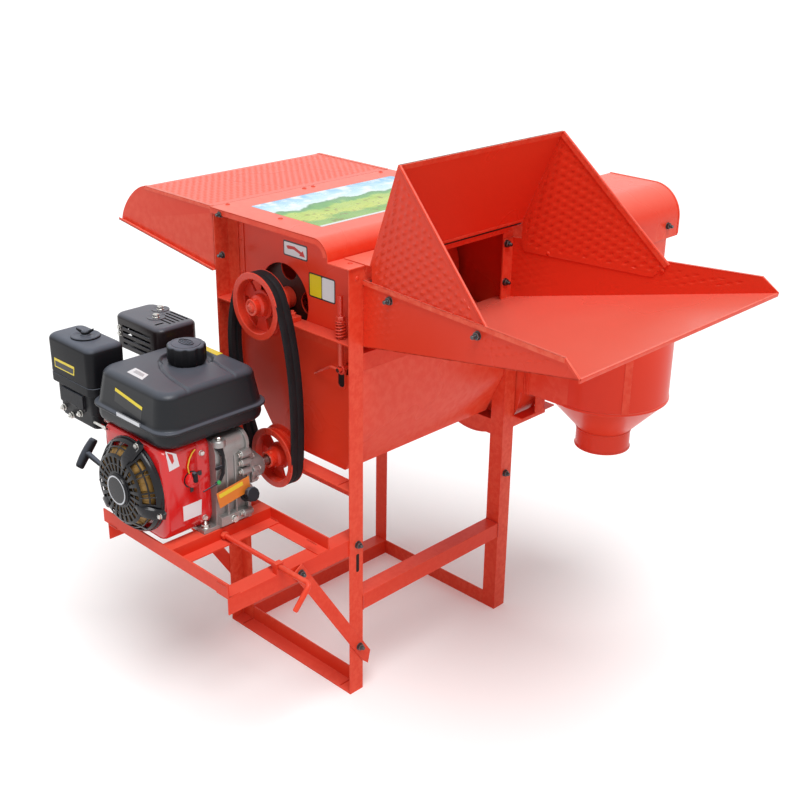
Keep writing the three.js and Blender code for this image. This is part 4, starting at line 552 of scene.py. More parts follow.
def keep(node_name, material, edge=0.7, angle=30):
    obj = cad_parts[node_name]
    custom = obj.data.attributes.get("custom_normal")
    if custom:
        obj.data.attributes.remove(custom)
    sharp = obj.data.attributes.get("sharp_edge")
    if sharp:
        obj.data.attributes.remove(sharp)
    obj.data.shade_smooth()
    joined = obj.modifiers.new("joined", "WELD")
    joined.merge_threshold = MERGE_REACH
    rounding(obj, edge, 2, angle)
    for slot in obj.material_slots:
        slot.material = material


def dress_stand():
    for name in ("leg_a", "leg_b", "leg_c", "leg_d", "floor_bar_near", "floor_bar_far", "floor_bar_rear",
                 "mid_rail", "tray_rail", "bearing_rail_near", "bearing_rail_far", "lower_rail_near",
                 "lower_rail_far", "platform_arm_a", "platform_arm_d", "platform_rail_near",
                 "platform_rail_far", "engine_rail_left", "engine_rail_right", "brace_a", "brace_d"):
        keep(name, enamel)
    for name in ("side_panel_near", "side_panel_far"):
        keep(name, sheet_enamel, 0.5)
    keep("collecting_hopper", sheet_enamel, 0.5)
    for name in ("threshing_drum", "concave", "fan_impeller"):
        keep(name, lit_drum_enamel, 0.6)
    for name in ("bearing_near", "bearing_far"):
        keep(name, enamel, 1.2)
    keep("output_shaft", turned_steel, 0.6)

    beads = Form()
    iron = cad("leg_a")[1].y
    for height in (cad("bearing_rail_near")[1].z, cad("lower_rail_near")[1].z):
        for x in (iron, STAND_LENGTH - iron):
            weld(beads, (x, 2, height), (x, iron - 4, height), 2.4)
    for x in (iron, STAND_LENGTH - iron):
        weld(beads, (x, 3, 3), (x, iron - 3, 3), 2.4)
    beads.mirrored()
    mid = cad("mid_rail")
    for y in (mid[0].y, mid[1].y):
        weld(beads, (STAND_LENGTH + 0.5, y, mid[0].z), (STAND_LENGTH + 0.5, y, mid[1].z), 2.4)
        weld(beads, (STAND_LENGTH - iron, y, mid[1].z), (STAND_LENGTH - 2, y, mid[1].z), 2.4)
    for arm in ("platform_arm_a", "platform_arm_d"):
        low, high = cad(arm)
        for rail in ("platform_rail_near", "platform_rail_far"):
            rail_y = cad(rail)[0].y
            weld(beads, (low.x + 4, rail_y, high.z), (high.x - 4, rail_y, high.z), 2.2)
    for rail in ("engine_rail_left", "engine_rail_right"):
        low, high = cad(rail)
        weld(beads, (low.x + 2, high.y - 1, low.z + 4), (high.x - 4, high.y - 1, low.z + 4), 2.2)
        weld(beads, (low.x + 2, low.y + 1, low.z + 4), (high.x - 4, low.y + 1, low.z + 4), 2.2)
    piece("weld_beads", beads, weld_enamel, slot="frame_red")


# Straw side: cover, discharge hood and the picture on the cover
def make_cover():
    low, high = cad("drum_cover")
    thick, fold, radius = 3.0, 14.0, 41.0
    lip_end = high.x
    lip = cad("leg_a")[1].z
    flat_end = lip_end - 4 - 100
    form = Form()
    top = [(low.x, high.z), *arc(flat_end, high.z - radius, radius, 90, 0, 18),
           (flat_end + radius, lip + thick), (lip_end, lip + thick), (lip_end, lip)]
    under = [(flat_end + radius - thick, lip), *arc(flat_end, high.z - radius, radius - thick, 0, 90, 18),
             (low.x, high.z - thick)]
    form.prism(top + under, "y", low.y, high.y)
    edge = [(low.x, high.z - 0.2), *arc(flat_end, high.z - radius, radius - 0.2, 90, 8, 16)]
    hem = [*arc(flat_end, high.z - radius, radius - fold, 8, 90, 16), (low.x, high.z - fold)]
    side = Form().prism(edge + hem, "y", low.y, low.y + thick)
    form.add(side.points, side.faces).mirrored(side)
    lip_low = PANEL + 4
    form.prism([(lip_end - 6, lip - 13), (lip_end - 3, lip - 15), (lip_end - 0.4, lip - 13),
                (lip_end, lip + 0.5), (lip_end - 5, lip + 0.5)], "y", lip_low, STAND_WIDTH - lip_low)
    red_sheet("drum_cover_sheet", form, stands_for="drum_cover", bevel=1.0)

    rivets = Form()
    for x, y, z in ((7, 37, high.z), (180, 44, high.z), (8, 291, high.z), (415, 27, lip + thick)):
        rivet(rivets, (x, y, z), Z, 5.5)
    rivets.mirrored()
    piece("cover_rivets", rivets, enamel, slot="sheet_red")

    start, end = (55.0, 64.0), (290.0, 505.0)
    ground = high.z + 0.25
    print_form = Form().prism(rounded(start, end, 4), "z", high.z - 0.2, ground)
    picture = field_picture(DATUM.x + end[0] * MM, DATUM.x + start[0] * MM)
    piece("cover_picture", print_form, picture, slot="sheet_red")
    border = Form()
    band = 9.0
    border.prism(rounded((end[0] - band, start[1]), end, 2), "z", ground, ground + 0.1)
    piece("cover_picture_edge", border, vinyl_white, slot="sheet_red")


def make_discharge():
    low, high = cad("discharge_hood")
    wall, roof_reach, gap = 2.0, 262.0, 5.3
    tip = high.z - 99.0
    form = Form()

    def roof(x, y, face):
        inside = min(x + roof_reach - 8, -gap - 22 - x, y - 10, STAND_WIDTH - 10 - y) > 0
        press = dash(y, x, (19.0, 12.0), (12.0, 5.5), 1.7) if inside else 0.0
        return Vector((x, y, high.z - wall * face + press * 0.9))

    columns = spread(-roof_reach, -gap, 104)
    rows = spread(0.6, STAND_WIDTH - 0.6, 208)
    form.sheet(columns, rows, roof)
    red_sheet("discharge_roof", form, stands_for="discharge_hood")

    flat = 1.35
    bend = [(-roof_reach - (-low.x - roof_reach) * math.sin(t) ** flat,
             tip + (high.z - tip) * math.cos(t) ** flat) for t in spread(0, math.pi / 2, 15)]
    outline = [(-0.3, high.z - 14.3), (-gap, high.z - 14.3), (-gap, high.z), *bend, (-0.3, low.z)]
    cheek = Form().prism(outline, "y", 0, wall)
    lip = [(low.x, tip), (-0.3, low.z), (-0.3, low.z + wall), (low.x, tip + wall)]
    cheek.prism(lip, "y", -9, wall)
    cheek.prism([(low.x, tip), (-0.3, low.z), (-0.3, low.z + 6), (low.x, tip + 6)], "y", -9, -7.4)
    cheek.block((-2.3, 0, low.z), (-0.3, 38, high.z - 14.3))
    for foot, inner in ((high.z - 7, 0.2), (high.z + 0.2, 8)):
        cheek.prism(rectangle(-roof_reach, foot, -gap, high.z + 1.2), "y", -1.4, inner)
    cheek.mirrored()
    red_sheet("discharge_cheeks", cheek, bevel=0.6)


# Feed tray and hood
TRAY_START, TRAY_END = cad("feed_tray")[0].x + 38.3, cad("feed_tray")[1].x
TRAY_FLOOR = (858.0, 993.0)
WALL_TOP = (1001.0, 1020.0)
WALL_FRONT = TRAY_END - 36.0
SPLAY = 95.0
HEM = 9.0


def tray_share(x):
    return (x - STAND_LENGTH) / (TRAY_END - STAND_LENGTH)


def wall_y(x):
    return PANEL - SPLAY * tray_share(x)


def floor_z(x):
    return lerp(*TRAY_FLOOR, tray_share(x))


def splayed(form, outline, start, thickness):
    """A flat outline in XZ that stands on the splayed line of the tray's wall."""
    form.loft([[Vector((x, wall_y(x) + shift, z)) for x, z in outline]
               for shift in (start, start + thickness)])


def make_tray():
    wall, rim = 2.0, 4.0
    floor = Form()
    tongue = TRAY_START - 38.0

    def place(x, t, face):
        edge = wall_y(x) if x >= TRAY_START else PANEL + 2.3
        sag = 1.4 * math.sin(math.pi * t) * smooth(tray_share(x) * 3) * smooth((1 - tray_share(x)) * 3)
        return Vector((x, lerp(edge, STAND_WIDTH - edge, t), floor_z(x) - sag - wall * face))

    floor.sheet([tongue, TRAY_START - 0.01, *spread(TRAY_START, TRAY_END, 40)], spread(0, 1, 41), place)
    edge = wall_y(TRAY_END)
    front = TRAY_FLOOR[1]
    hem = [(TRAY_END - rim, front - 2 * rim), (TRAY_END - 1, front - 2 * rim),
           *arc(TRAY_END - 2, front - 2, 2, 0, 90, 5), (TRAY_END - rim, front)]
    floor.prism(hem, "y", edge, STAND_WIDTH - edge)
    red_sheet("tray_floor", floor, stands_for="feed_tray", bevel=0.5)

    walls = Form()

    def top(x):
        if x < WALL_FRONT:
            return lerp(*WALL_TOP, (x - TRAY_START) / (WALL_FRONT - TRAY_START))
        return lerp(WALL_TOP[1], TRAY_FLOOR[1] + 1, (x - WALL_FRONT) / (TRAY_END - WALL_FRONT))

    def wall_place(x, t, face):
        z = lerp(floor_z(x) - wall, top(x), t)
        press = 0.0
        if 18 < z - floor_z(x) and z < top(x) - 16:
            worn = smooth(abs((x - TRAY_START) / (TRAY_END - TRAY_START) - 0.36) * 3.2 - 0.25)
            press = dash(x * 0.94 + z * 0.34, z * 0.94 - x * 0.34, (22, 14), (14, 6), 1.3 * worn)
        return Vector((x, wall_y(x) + wall * face - press, z))

    walls.sheet(spread(TRAY_START, TRAY_END, 190), spread(0, 1, 44), wall_place)
    walls.mirrored()
    red_sheet("tray_walls", walls)

    hems = Form()
    for drop, thickness in ((HEM, 3.4), (0.4, 6.0)):
        splayed(hems, [(TRAY_START, WALL_TOP[0] - drop), (WALL_FRONT, WALL_TOP[1] - drop),
                       (WALL_FRONT, WALL_TOP[1] + 0.6), (TRAY_START, WALL_TOP[0] + 0.6)], -3.2, thickness)
    splayed(hems, [(WALL_FRONT, WALL_TOP[1] - HEM), (TRAY_END - 6, TRAY_FLOOR[1]), (TRAY_END, TRAY_FLOOR[1]),
                   (WALL_FRONT, WALL_TOP[1] + 0.6)], -2.2, 2.4)
    hems.block((TRAY_START, PANEL, TRAY_FLOOR[0]), (TRAY_START + wall, PANEL + 34, WALL_TOP[0]))
    hems.mirrored()
    red_sheet("tray_hems", hems, bevel=1.3)


def make_hood():
    low, high = cad("hood_left")
    rear, foot, apex = low.x, high.x, 553.0
    shift, thick = 2.3, 2.0
    lap, foot_z, apex_z = low.z, 1008.0, high.z
    lap_end = foot - 34.0
    rear_z = lerp(1033.0, apex_z, (rear - 462.0) / (apex - 462.0))
    form = Form()

    def bottom(x):
        heel = 16.0
        if x < rear + heel:
            return lap + heel - math.sqrt(heel ** 2 - (rear + heel - x) ** 2)
        return lap if x < lap_end else lerp(lap, foot_z, (x - lap_end) / (foot - lap_end))

    def top(x):
        if x < apex:
            return lerp(rear_z, apex_z, (x - rear) / (apex - rear))
        return lerp(apex_z, foot_z + 0.5, (x - apex) / (foot - apex))

    def place(x, t, face):
        z = lerp(bottom(x), top(x), t)
        inside = min(z - lap - 12, x - rear - 10, top(x) - z - 22, top(x) - 14 - z) > 0
        press = dash(x * 0.87 + z * 0.5, z * 0.87 - x * 0.5, (25, 15), (16, 7), 2.0) if inside else 0.0
        return Vector((x, wall_y(x) + shift + thick * face - press, z))

    form.sheet([*spread(rear, apex, 36), *spread(apex, foot, 100)[1:]], spread(0, 1, 96), place)
    both = Form().mirrored(form)
    red_sheet("hood_cheek_near", form, stands_for="hood_left")
    red_sheet("hood_cheek_far", both, stands_for="hood_right")

    folds = Form()
    width = 11.0
    along = Vector((foot - apex, foot_z - apex_z)).normalized()
    inward = Vector((along.y, -along.x)) * width
    splayed(folds, [(apex, apex_z), (foot, foot_z), (foot + inward.x, foot_z + max(inward.y, -8)),
                    (apex + inward.x, apex_z + inward.y)], shift + 1.6, 3.4)
    splayed(folds, [(apex, apex_z), (foot, foot_z), (foot + inward.x * 0.14, foot_z + inward.y * 0.14),
                    (apex + inward.x * 0.14, apex_z + inward.y * 0.14)], shift - 1.2, 6.2)
    rim = [Vector((x, wall_y(x) + shift + 1.0, z)) for x, z in
           ((lerp(apex, foot, share), lerp(apex_z, foot_z, share) - 1.6) for share in spread(0, 1, 30))]
    folds.tube(rim, 3.2, 12)
    folds.mirrored()
    red_sheet("hood_folds", folds, bevel=1.2)

    back = Form()
    back_low, back_high = cad("hood_back")
    lap_low = back_low.z
    base_x, tip_x = 461.7, 552.7

    def back_place(y_share, t, face):
        x = lerp(base_x, tip_x, t) - 4.0 * face
        edge = wall_y(x + 4.0 * face) + 2.6
        belly = 1.6 * math.sin(math.pi * y_share) * math.sin(math.pi * t)
        return Vector((x - belly, lerp(edge, STAND_WIDTH - edge, y_share), lerp(lap_low, back_high.z, t)))

    back.sheet(spread(0, 1, 40), spread(0, 1, 30), back_place)
    slope = Vector((tip_x - base_x, 0, back_high.z - lap_low)).normalized()
    for reach, depth, proud in ((13.0, 2.4, 0.0), (3.0, 7.0, -3.4)):
        ends = []
        for corner in (0.0, reach):
            at = Vector((tip_x, 0, back_high.z)) - slope * corner
            ends.append((at.x, at.z))
        (ax, az), (bx, bz) = ends
        edge = wall_y(tip_x) + 2.6
        loop = [(ax + depth + proud, az), (bx + depth + proud, bz), (bx + proud - 0.5, bz),
                (ax + proud - 0.5, az)]
        back.prism(loop, "y", edge, STAND_WIDTH - edge)
    edge = wall_y(base_x) + 2.6
    back.block((back_low.x, edge, lap_low), (base_x, STAND_WIDTH - edge, lap_low + 2))
    back.prism([(base_x - 2, lap_low - 1), (base_x + 3, lap_low + 5), (base_x + 6, lap_low + 14),
                (base_x + 4, lap_low + 14), (base_x + 1, lap_low + 7), (base_x - 4, lap_low + 1)],
               "y", edge, STAND_WIDTH - edge)
    seam = Form().prism([(base_x + 0.5, lap_low + 2.5), (base_x + 3.4, lap_low + 3.5),
                         (base_x + 4.6, lap_low + 6.5), (base_x + 1.4, lap_low + 6.5)], "y", edge + 6,
                        STAND_WIDTH - edge - 6)
    piece("hood_seam_shade", seam, painted_shade, slot="sheet_red")
    red_sheet("hood_back_sheet", back, stands_for="hood_back", bevel=0.8)

    seen = Form()
    for x, z, stub in ((530, 982, 9), (796, 991, 9)):
        bolt(seen, (x, wall_y(x), z), -Y, 9.0, stub)
    for z in (899, 990):
        bolt(seen, (TRAY_START + 2, PANEL + 24, z), X, 9.0, 6)
    seen.mirrored()
    hardware("tray_bolts", seen, dark_steel, 0.4)
    pale = Form()
    for x, z in ((807, 992), (535, 979)):
        rivet(pale, (x, wall_y(x) + shift + thick, z), Y, 5.0)
    pale.mirrored()
    piece("hood_rivets", pale, enamel, slot="sheet_red")


# Drive: wheels, belts and shafts
def wheel(form, centre, radius, start, width, grooves, inner):
    """A V-grooved rim with soft lips, closed on its bore."""
    mouth, bed, depth, crest_drop = 7.2, 4, 11, 5
    pitch = width / grooves
    profile = [(inner, start + 1.2), (inner + 1.4, start), (radius - 1.4, start), (radius, start + 1.2)]
    for i in range(grooves):
        middle = start + pitch * (i + 0.5)
        before, after = radius - crest_drop * (i > 0), radius - crest_drop * (i < grooves - 1)
        profile += [(before, middle - mouth), (radius - depth, middle - bed), (radius - depth, middle + bed),
                    (after, middle + mouth)]
    end = start + width
    profile += [(radius, end - 1.2), (radius - 1.4, end), (inner + 1.4, end), (inner, end - 1.2)]
    form.turned(centre, Y, profile, 96, closed=True)


def window_web(form, centre, inner, outer, levels, windows, half_turn):
    """A round web with windows, as a closed plate."""
    steps = 108
    rings = [inner, lerp(inner, outer, 0.22), lerp(inner, outer, 0.88), outer]

    def solid(step, band):
        turn = (step + 0.5) * 360 / steps
        nearest = min(abs((turn - 90 - i * 360 / windows + 180) % 360 - 180) for i in range(windows))
        return band != 1 or nearest > half_turn

    points, faces = [], []
    for level in levels:
        for ring in rings:
            for step in range(steps):
                turn = 2 * math.pi * step / steps
                points.append((centre.x + ring * math.cos(turn), level, centre.z + ring * math.sin(turn)))
    size = len(rings) * steps

    def face_over(*corners):
        """A face over corners given as side of the plate, ring and step."""
        faces.append([side * size + ring * steps + step % steps for side, ring, step in corners])

    def face_through(ring, step):
        face_over((0, ring, step), (0, ring, step + 1), (1, ring, step + 1), (1, ring, step))

    for band in range(3):
        for step in range(steps):
            if not solid(step, band):
                for ring in (band, band + 1):
                    face_through(ring, step)
                continue
            for side in (0, 1):
                face_over((side, band, step), (side, band, step + 1), (side, band + 1, step + 1),
                          (side, band + 1, step))
            for edge, beside in ((step, step - 1), (step + 1, step + 1)):
                if not solid(beside % steps, band):
                    face_over((0, band, edge), (0, band + 1, edge), (1, band + 1, edge), (1, band, edge))
    for ring in (0, 3):
        for step in range(steps):
            face_through(ring, step)
    form.add(points, faces)


def spoked(name, node_name, centre, radius, hub_reach, body):
    low, high = cad(node_name)
    start, end = low.y + hub_reach, high.y
    inner = radius - 15.0
    rim = Form()
    wheel(rim, centre, radius, start, end - start, 2, inner)
    middle = (start + end) / 2 + 5
    hub = [(12.9, low.y + 1), (17, low.y + 0.2), (18.5, low.y + 1.6), (18.5, start + 4), (24, start + 8),
           (26, middle - 2), (26, end), (12.9, end)]
    rim.turned(centre, Y, hub, 48, closed=True)
    screw = [(3.4, 0), (3.4, 5), (2.4, 6)]
    for turn in (70, 200):
        out = outward(math.radians(turn))
        rim.turned(centre + Y * (low.y + 7) + out * 16, out, screw, 6)
    piece(name, rim, pulley_enamel, body, node_name, "pulley_red", angle=25)
    web = Form()
    windows, half_turn = 3, 40
    window_web(web, centre, 24.0, inner + 2, (middle - 3, middle + 3), windows, half_turn)
    piece(name + "_web", web, pulley_enamel, body, slot="pulley_red", bevel=0.6)


def belt(wheels, middle, early, half=6.0):
    """A V belt round two wheels; each slack run leaves and meets the wheels some degrees early."""
    wrap_stations, run_stations = 45, 34
    (ax, az, ar), (bx, bz, br) = wheels
    heading = math.atan2(bz - az, bx - ax)
    lean = math.acos((ar - br) / math.hypot(bx - ax, bz - az))
    section = [(-half * 0.62, -9), (half * 0.62, -9), (half, -1.6), (half - 0.3, -0.4), (half - 1.1, 0),
               (1.1 - half, 0), (0.3 - half, -0.4), (-half, -1.6)]
    (leave_a, meet_b), (leave_b, meet_a) = [[math.radians(turn) for turn in pair] for pair in early]
    sweeps = (((ax, az, ar), heading + lean + meet_a, heading + 2 * math.pi - lean - leave_a),
              ((bx, bz, br), heading - lean + meet_b, heading + lean - leave_b))
    stations = []
    for number, ((x, z, radius), start, end) in enumerate(sweeps):
        stations += [(x + radius * math.cos(t), z + radius * math.sin(t), t)
                     for t in spread(start, end, wrap_stations)]
        (other_x, other_z, other_radius), meet = sweeps[1 - number][:2]
        first = Vector(stations[-1][:2])
        last = Vector((other_x + other_radius * math.cos(meet), other_z + other_radius * math.sin(meet)))
        reach = (last - first).length
        run_out = Vector((-math.sin(end), math.cos(end))) * reach
        run_in = Vector((-math.sin(meet), math.cos(meet))) * reach
        for t in spread(0, 1, run_stations)[1:-1]:
            point = (first * (2 * t ** 3 - 3 * t ** 2 + 1) + run_out * (t ** 3 - 2 * t ** 2 + t)
                     + last * (3 * t ** 2 - 2 * t ** 3) + run_in * (t ** 3 - t ** 2))
            way = (first * (6 * t ** 2 - 6 * t) + run_out * (3 * t ** 2 - 4 * t + 1)
                   + last * (6 * t - 6 * t ** 2) + run_in * (3 * t ** 2 - 2 * t))
            stations.append((point.x, point.y, math.atan2(way.y, way.x) - math.pi / 2))
    loops = [[Vector((x + depth * math.cos(t), middle + across, z + depth * math.sin(t)))
              for across, depth in section] for x, z, t in stations]
    return Form().loft(loops, closed=True)


def far_web(bore, rim, hub, start, end):
    """Profile of the plain web and hub of a wheel on the far side."""
    return [(bore, start + 6), (rim, start + 6), (rim, start + 14), (hub, start + 14), (hub, end - 1),
            (bore, end - 1)]


def axle(node):
    """The middle of a node's axis, on the plane of the stand's near face."""
    middle = middle_of(node)
    return Vector((middle.x, 0, middle.z))


def make_drive():
    drum, engine, fan = axle("drum_pulley"), axle("engine_pulley"), axle("fan_shaft")
    drum_radius, engine_radius, far_radius, fan_radius = 75.0, 70.0, 60.0, 45.0
    sunk, far_width = 1.0, 20.0
    spoked("drum_wheel", "drum_pulley", drum, drum_radius, 10.0, "drum")
    spoked("engine_wheel", "engine_pulley", engine, engine_radius, 14.0, "output")
    wheels = ((drum.x, drum.z, drum_radius - sunk), (engine.x, engine.z, engine_radius - sunk))
    for node_name in ("belt_front", "belt_rear"):
        low, high = cad(node_name)
        form = belt(wheels, (low.y + high.y) / 2, ((36, 24), (10, 16)), 9.0)
        piece(node_name + "_loop", form, rubber, stands_for=node_name, slot="belt_rubber")

    shaft_low, shaft_high = cad("drum_shaft")
    far_end = shaft_high.y
    far_start = far_end - far_width
    near_collar = (cad("bearing_near")[1].y + FIT, cad("threshing_drum")[0].y - FIT)
    far_collar = [STAND_WIDTH - y for y in reversed(near_collar)]
    profile = [(10.5, shaft_low.y - 0.2), (12.5, shaft_low.y + 1.8)]
    for start, end in (near_collar, far_collar):
        profile += [(12.5, start), (23, start), (24, start + 1), (24, end - 1), (23, end), (12.5, end)]
    profile += [(12.5, far_end - 1.5), (11, far_end)]
    form = Form().turned(drum, Y, profile, 40)
    wheel(form, drum, far_radius, far_start, far_width, 1, 44)
    form.turned(drum, Y, far_web(13, 45, 20, far_start, far_end), 48, closed=True)
    form.turned(drum + Y * shaft_low.y, -Y, [(9.4, -0.6), (9.4, 1.6), (7.6, 2.4)], 6)
    piece("drum_axle", form, pulley_enamel, "drum", "drum_shaft", "shaft_steel", angle=28)

    fan_low, fan_high = cad("fan_shaft")
    profile = [(9, fan_low.y), (10, fan_low.y + 1), (10, fan_high.y - 1), (9, fan_high.y)]
    form = Form().turned(fan, Y, profile, 32)
    wheel(form, fan, fan_radius, far_start, far_width, 1, 30)
    form.turned(fan, Y, far_web(10.4, 31, 17, far_start, far_end), 48, closed=True)
    piece("fan_axle", form, turned_steel, "fan", "fan_shaft", "shaft_steel", angle=28)
    belt_low, belt_high = cad("fan_belt")
    wheels = ((drum.x, drum.z, far_radius - sunk), (fan.x, fan.z, fan_radius - sunk))
    form = belt(wheels, (belt_low.y + belt_high.y) / 2, ((3, 3), (3, 3)))
    piece("fan_belt_loop", form, rubber, stands_for="fan_belt", slot="belt_rubber")

    blocks = Form()
    low, high = cad("bearing_near")
    for x in (low.x + 14, high.x - 14):
        bolt(blocks, (x, (low.y + high.y) / 2, low.z + 11), Z, 9.0, 3)
    cap = [(24, -low.y - 0.2), (22, -low.y + 2.4), (15, -low.y + 3), (15, -low.y - 0.2)]
    blocks.turned(drum, -Y, cap, 40, closed=True)
    blocks.mirrored()
    piece("bearing_caps", blocks, enamel, slot="frame_red", bevel=0.4, segments=1)


# Sprung rod of the concave
def make_spring():
    low, high = cad("concave_spring")
    centre = (low + high) / 2
    wire, turns, sides = 1.8, 5, 28
    radius = (high.x - low.x) / 2 - wire
    path = []
    for i in range(turns * sides + 1):
        t = 2 * math.pi * i / sides
        z = lerp(low.z + wire, high.z - wire, i / (turns * sides))
        path.append((centre.x + radius * math.cos(t), centre.y + radius * math.sin(t), z))
    coil = piece("spring_coil", Form().tube(path, wire, 10), pulley_enamel, stands_for="concave_spring",
                 slot="spring_steel")
    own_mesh(coil)

    low, high = cad("concave_rod")
    eye_z = low.z + 12.0
    form = Form()
    rod_radius, thread_start = 6.0, high.z - 62
    crests = thread(rod_radius, 5.4, thread_start, high.z - 1.5, 1.4)[0]
    profile = [(rod_radius, eye_z + 10), (rod_radius, thread_start), *crests, (4.8, high.z)]
    line = (centre.x, centre.y, 0)
    form.turned(line, Z, profile, 20)
    seat = cad("concave_spring")[1].z + FIT
    form.turned(line, Z, [(12, seat), (12, seat + 2.4), (11.4, seat + 3)], 32)
    form.turned(line, Z, [(9.6, seat + 3), (10.4, seat + 4), (10.4, seat + 11), (9.2, seat + 12)], 6)
    ring = [(centre.x + 9.4 * math.cos(t), centre.y, eye_z + 9.4 * math.sin(t))
            for t in spread(0, 2 * math.pi, 33)]
    form.tube(ring, 2.9, 10)
    form.tube([(centre.x, centre.y, eye_z + 8), (centre.x, centre.y, eye_z + 16)], 5.2, 14)
    piece("float_rod", form, pulley_enamel, "concave_rod", "concave_rod", "frame_red", bevel=0.3, segments=1)


# Blower, cyclone and exhaust hood
def make_blower():
    low, high = cad("cyclone")
    centre = Vector((602.0, high.y - 148.0, 0))
    cone_top, drum_top = low.z + 139.0, 800.0
    form = Form()
    profile = [(66, low.z), (66, low.z + 47), (68.5, low.z + 49), (66, low.z + 51), (147, cone_top - 1),
               (149.6, cone_top), (149.6, cone_top + 5), (148, cone_top + 6), (148, drum_top - 7),
               (150.2, drum_top - 6), (150.2, drum_top), (148, drum_top + 1), (60, drum_top + 1),
               (60, drum_top - 2), (146, drum_top - 3), (146, cone_top + 2), (64, low.z + 49), (64, low.z)]
    form.turned(centre, Z, profile, 128, closed=True)
    form.turned(centre, Z, [(64.4, low.z), (68, low.z), (68.6, low.z + 2.4), (66, low.z + 5),
                            (64.4, low.z + 5)], 96, closed=True)
    seam = math.radians(-38)
    out = Vector((math.cos(seam), math.sin(seam), 0))
    tangent = Vector((-out.y, out.x, 0))
    corner = centre + out * 147.4
    strip = ((-9, 0), (9, 0), (9, 1.9), (-9, 2.0))
    form.loft([placed(corner + Z * z, tangent, out, strip) for z in (cone_top + 5, drum_top - 7)])
    duct_low, duct_high = cad("fan_housing")
    duct = (465.0, centre.x)
    form.prism(rectangle(duct_low.y + 41.9, 610, duct_high.y - 12, 762), "x", *duct)
    for x in (466.5, 476):
        form.prism(rectangle(duct_low.y + 38.5, 606.5, duct_high.y - 8.5, 765.5), "x", x, x + 2.5)
    (x0, y0), (x1, y1) = (centre.x - 86, centre.y - 74), (centre.x + 95.7, centre.y + 46)
    outer, inner = rounded((x0, y0), (x1, y1), 3, 3), rounded((x0 + 2, y0 + 2), (x1 - 2, y1 - 2), 2, 3)
    form.loft([laid("z", outline, z) for outline, z in
               ((outer, drum_top), (outer, high.z), (inner, high.z), (inner, drum_top + 1))])
    flange = rounded((x0 - 11, y0 - 11), (x1 + 5, y1 + 11), 4, 3)
    form.prism(flange, "z", drum_top + 0.6, drum_top + 3.2)
    red_sheet("cyclone_shell", form, stands_for="cyclone", bevel=0.5, angle=32)

    hood_low, hood_high = cad("exhaust_hood")
    radius, wall = 72.0, 2.0
    stack_top = hood_low.z + 24
    hood = Form()

    def crown(inset):
        return arc(hood_high.x - radius, hood_high.z - radius, radius - inset, 0, 90, 26)

    outside = [(hood_low.x, hood_high.z), (hood_low.x, stack_top), (hood_high.x, hood_low.z), *crown(0)]
    shell = [(hood_high.x, hood_low.z), *crown(0), (hood_low.x, hood_high.z),
             (hood_low.x, hood_high.z - wall), *reversed(crown(wall)), (hood_high.x - wall, hood_low.z)]
    hood.prism(shell, "y", hood_low.y, hood_high.y)
    hood.prism(outside, "y", hood_low.y, hood_low.y + wall)
    hood.prism(outside, "y", hood_high.y - wall, hood_high.y)
    for y in (hood_low.y - 0.6, hood_high.y - 4.4):
        lipped = [(hood_high.x + 1.2, hood_low.z + 4), *crown(-1.2),
                  (hood_low.x, hood_high.z + 1.2), (hood_low.x, hood_high.z - 1), *reversed(crown(1)),
                  (hood_high.x - 1, hood_low.z + 4)]
        hood.prism(lipped, "y", y, y + 5)
    red_sheet("exhaust_cap", hood, stands_for="exhaust_hood", bevel=0.6)
    fixings = Form()
    for y in (hood_low.y + 46, hood_high.y - 46):
        bolt(fixings, (hood_high.x, y, hood_low.z + 30), X, 8.0, 7)
    hardware("exhaust_bolts", fixings, dark_steel, 0.3)

    low, high = cad("fan_housing")
    start, end = low.y + 41.9, high.y - 12
    x, z, radius = low.x + 150, low.z + 150, 150.0
    scroll = [*arc(x, z, radius, 90, 360, 72), (x + radius, z - 2), (464.7, z - 2), (464.7, z + radius)]
    form = Form().prism(scroll, "y", start + 1, end - 1)
    wide = [*arc(x, z, radius + 4, 90, 360, 72), (x + radius + 4, z - 6), (462, z - 6),
            (462, z + radius + 4)]
    for y in (start, end - 3):
        form.prism(wide, "y", y, y + 3)
    inlet = [(67, start - 2), (67, start + 2), (65, start + 2), (65, start - 42), (67, start - 42)]
    form.turned((x, 0, z), Y, inlet, 64, closed=True)
    hub = [(26, end - 1), (26, end + 3), (22, end + 5), (22, high.y - 1), (20.5, high.y), (10.4, high.y),
           (10.4, end - 1)]
    form.turned((x, 0, z), Y, hub, 48, closed=True)
    for i in range(4):
        turn = math.radians(45 + 90 * i)
        bolt(form, (x + 36 * math.cos(turn), end, z + 36 * math.sin(turn)), Y, 6.0)
    red_sheet("fan_casing", form, stands_for="fan_housing", bevel=0.6)


# Engine
CRANK = Vector((cad("fan_shroud")[0].x + 108.0, 0, cad("recoil_cover")[0].z + 106.0))


def soft_rings(low, high, corner, crown, rise, levels=7, base=((0, 0),)):
    """Loops of a box with round upright corners whose top edge rolls over."""
    rings = [(by, low.z + up) for by, up in base]
    for t in spread(0, math.pi / 2, levels):
        rings.append((crown * (1 - math.cos(t)), high.z - rise * (1 - math.sin(t))))
    return [laid("z", shrunk(low, high, by, max(corner - by * 0.55, 3), 8), z) for by, z in rings]


GROOVE = [(246, -258), (150, -245), (101, -231), (62, -209), (40, -185), (31, -155), (40, -124), (66, -107),
          (100, -110), (129, -121), (218, -133), (246, -136)]


TANK_LOW, TANK_HIGH = cad("fuel_tank")
TANK_CAP = middle_of("fuel_cap")
TANK_FLANGE, TANK_LEAN, TANK_ROLL = 7.0, 11.0, 16.0
TANK_SEAM = TANK_LOW.z + 37.0
TANK_SHOULDER = TANK_HIGH.z - 3.0 - TANK_ROLL


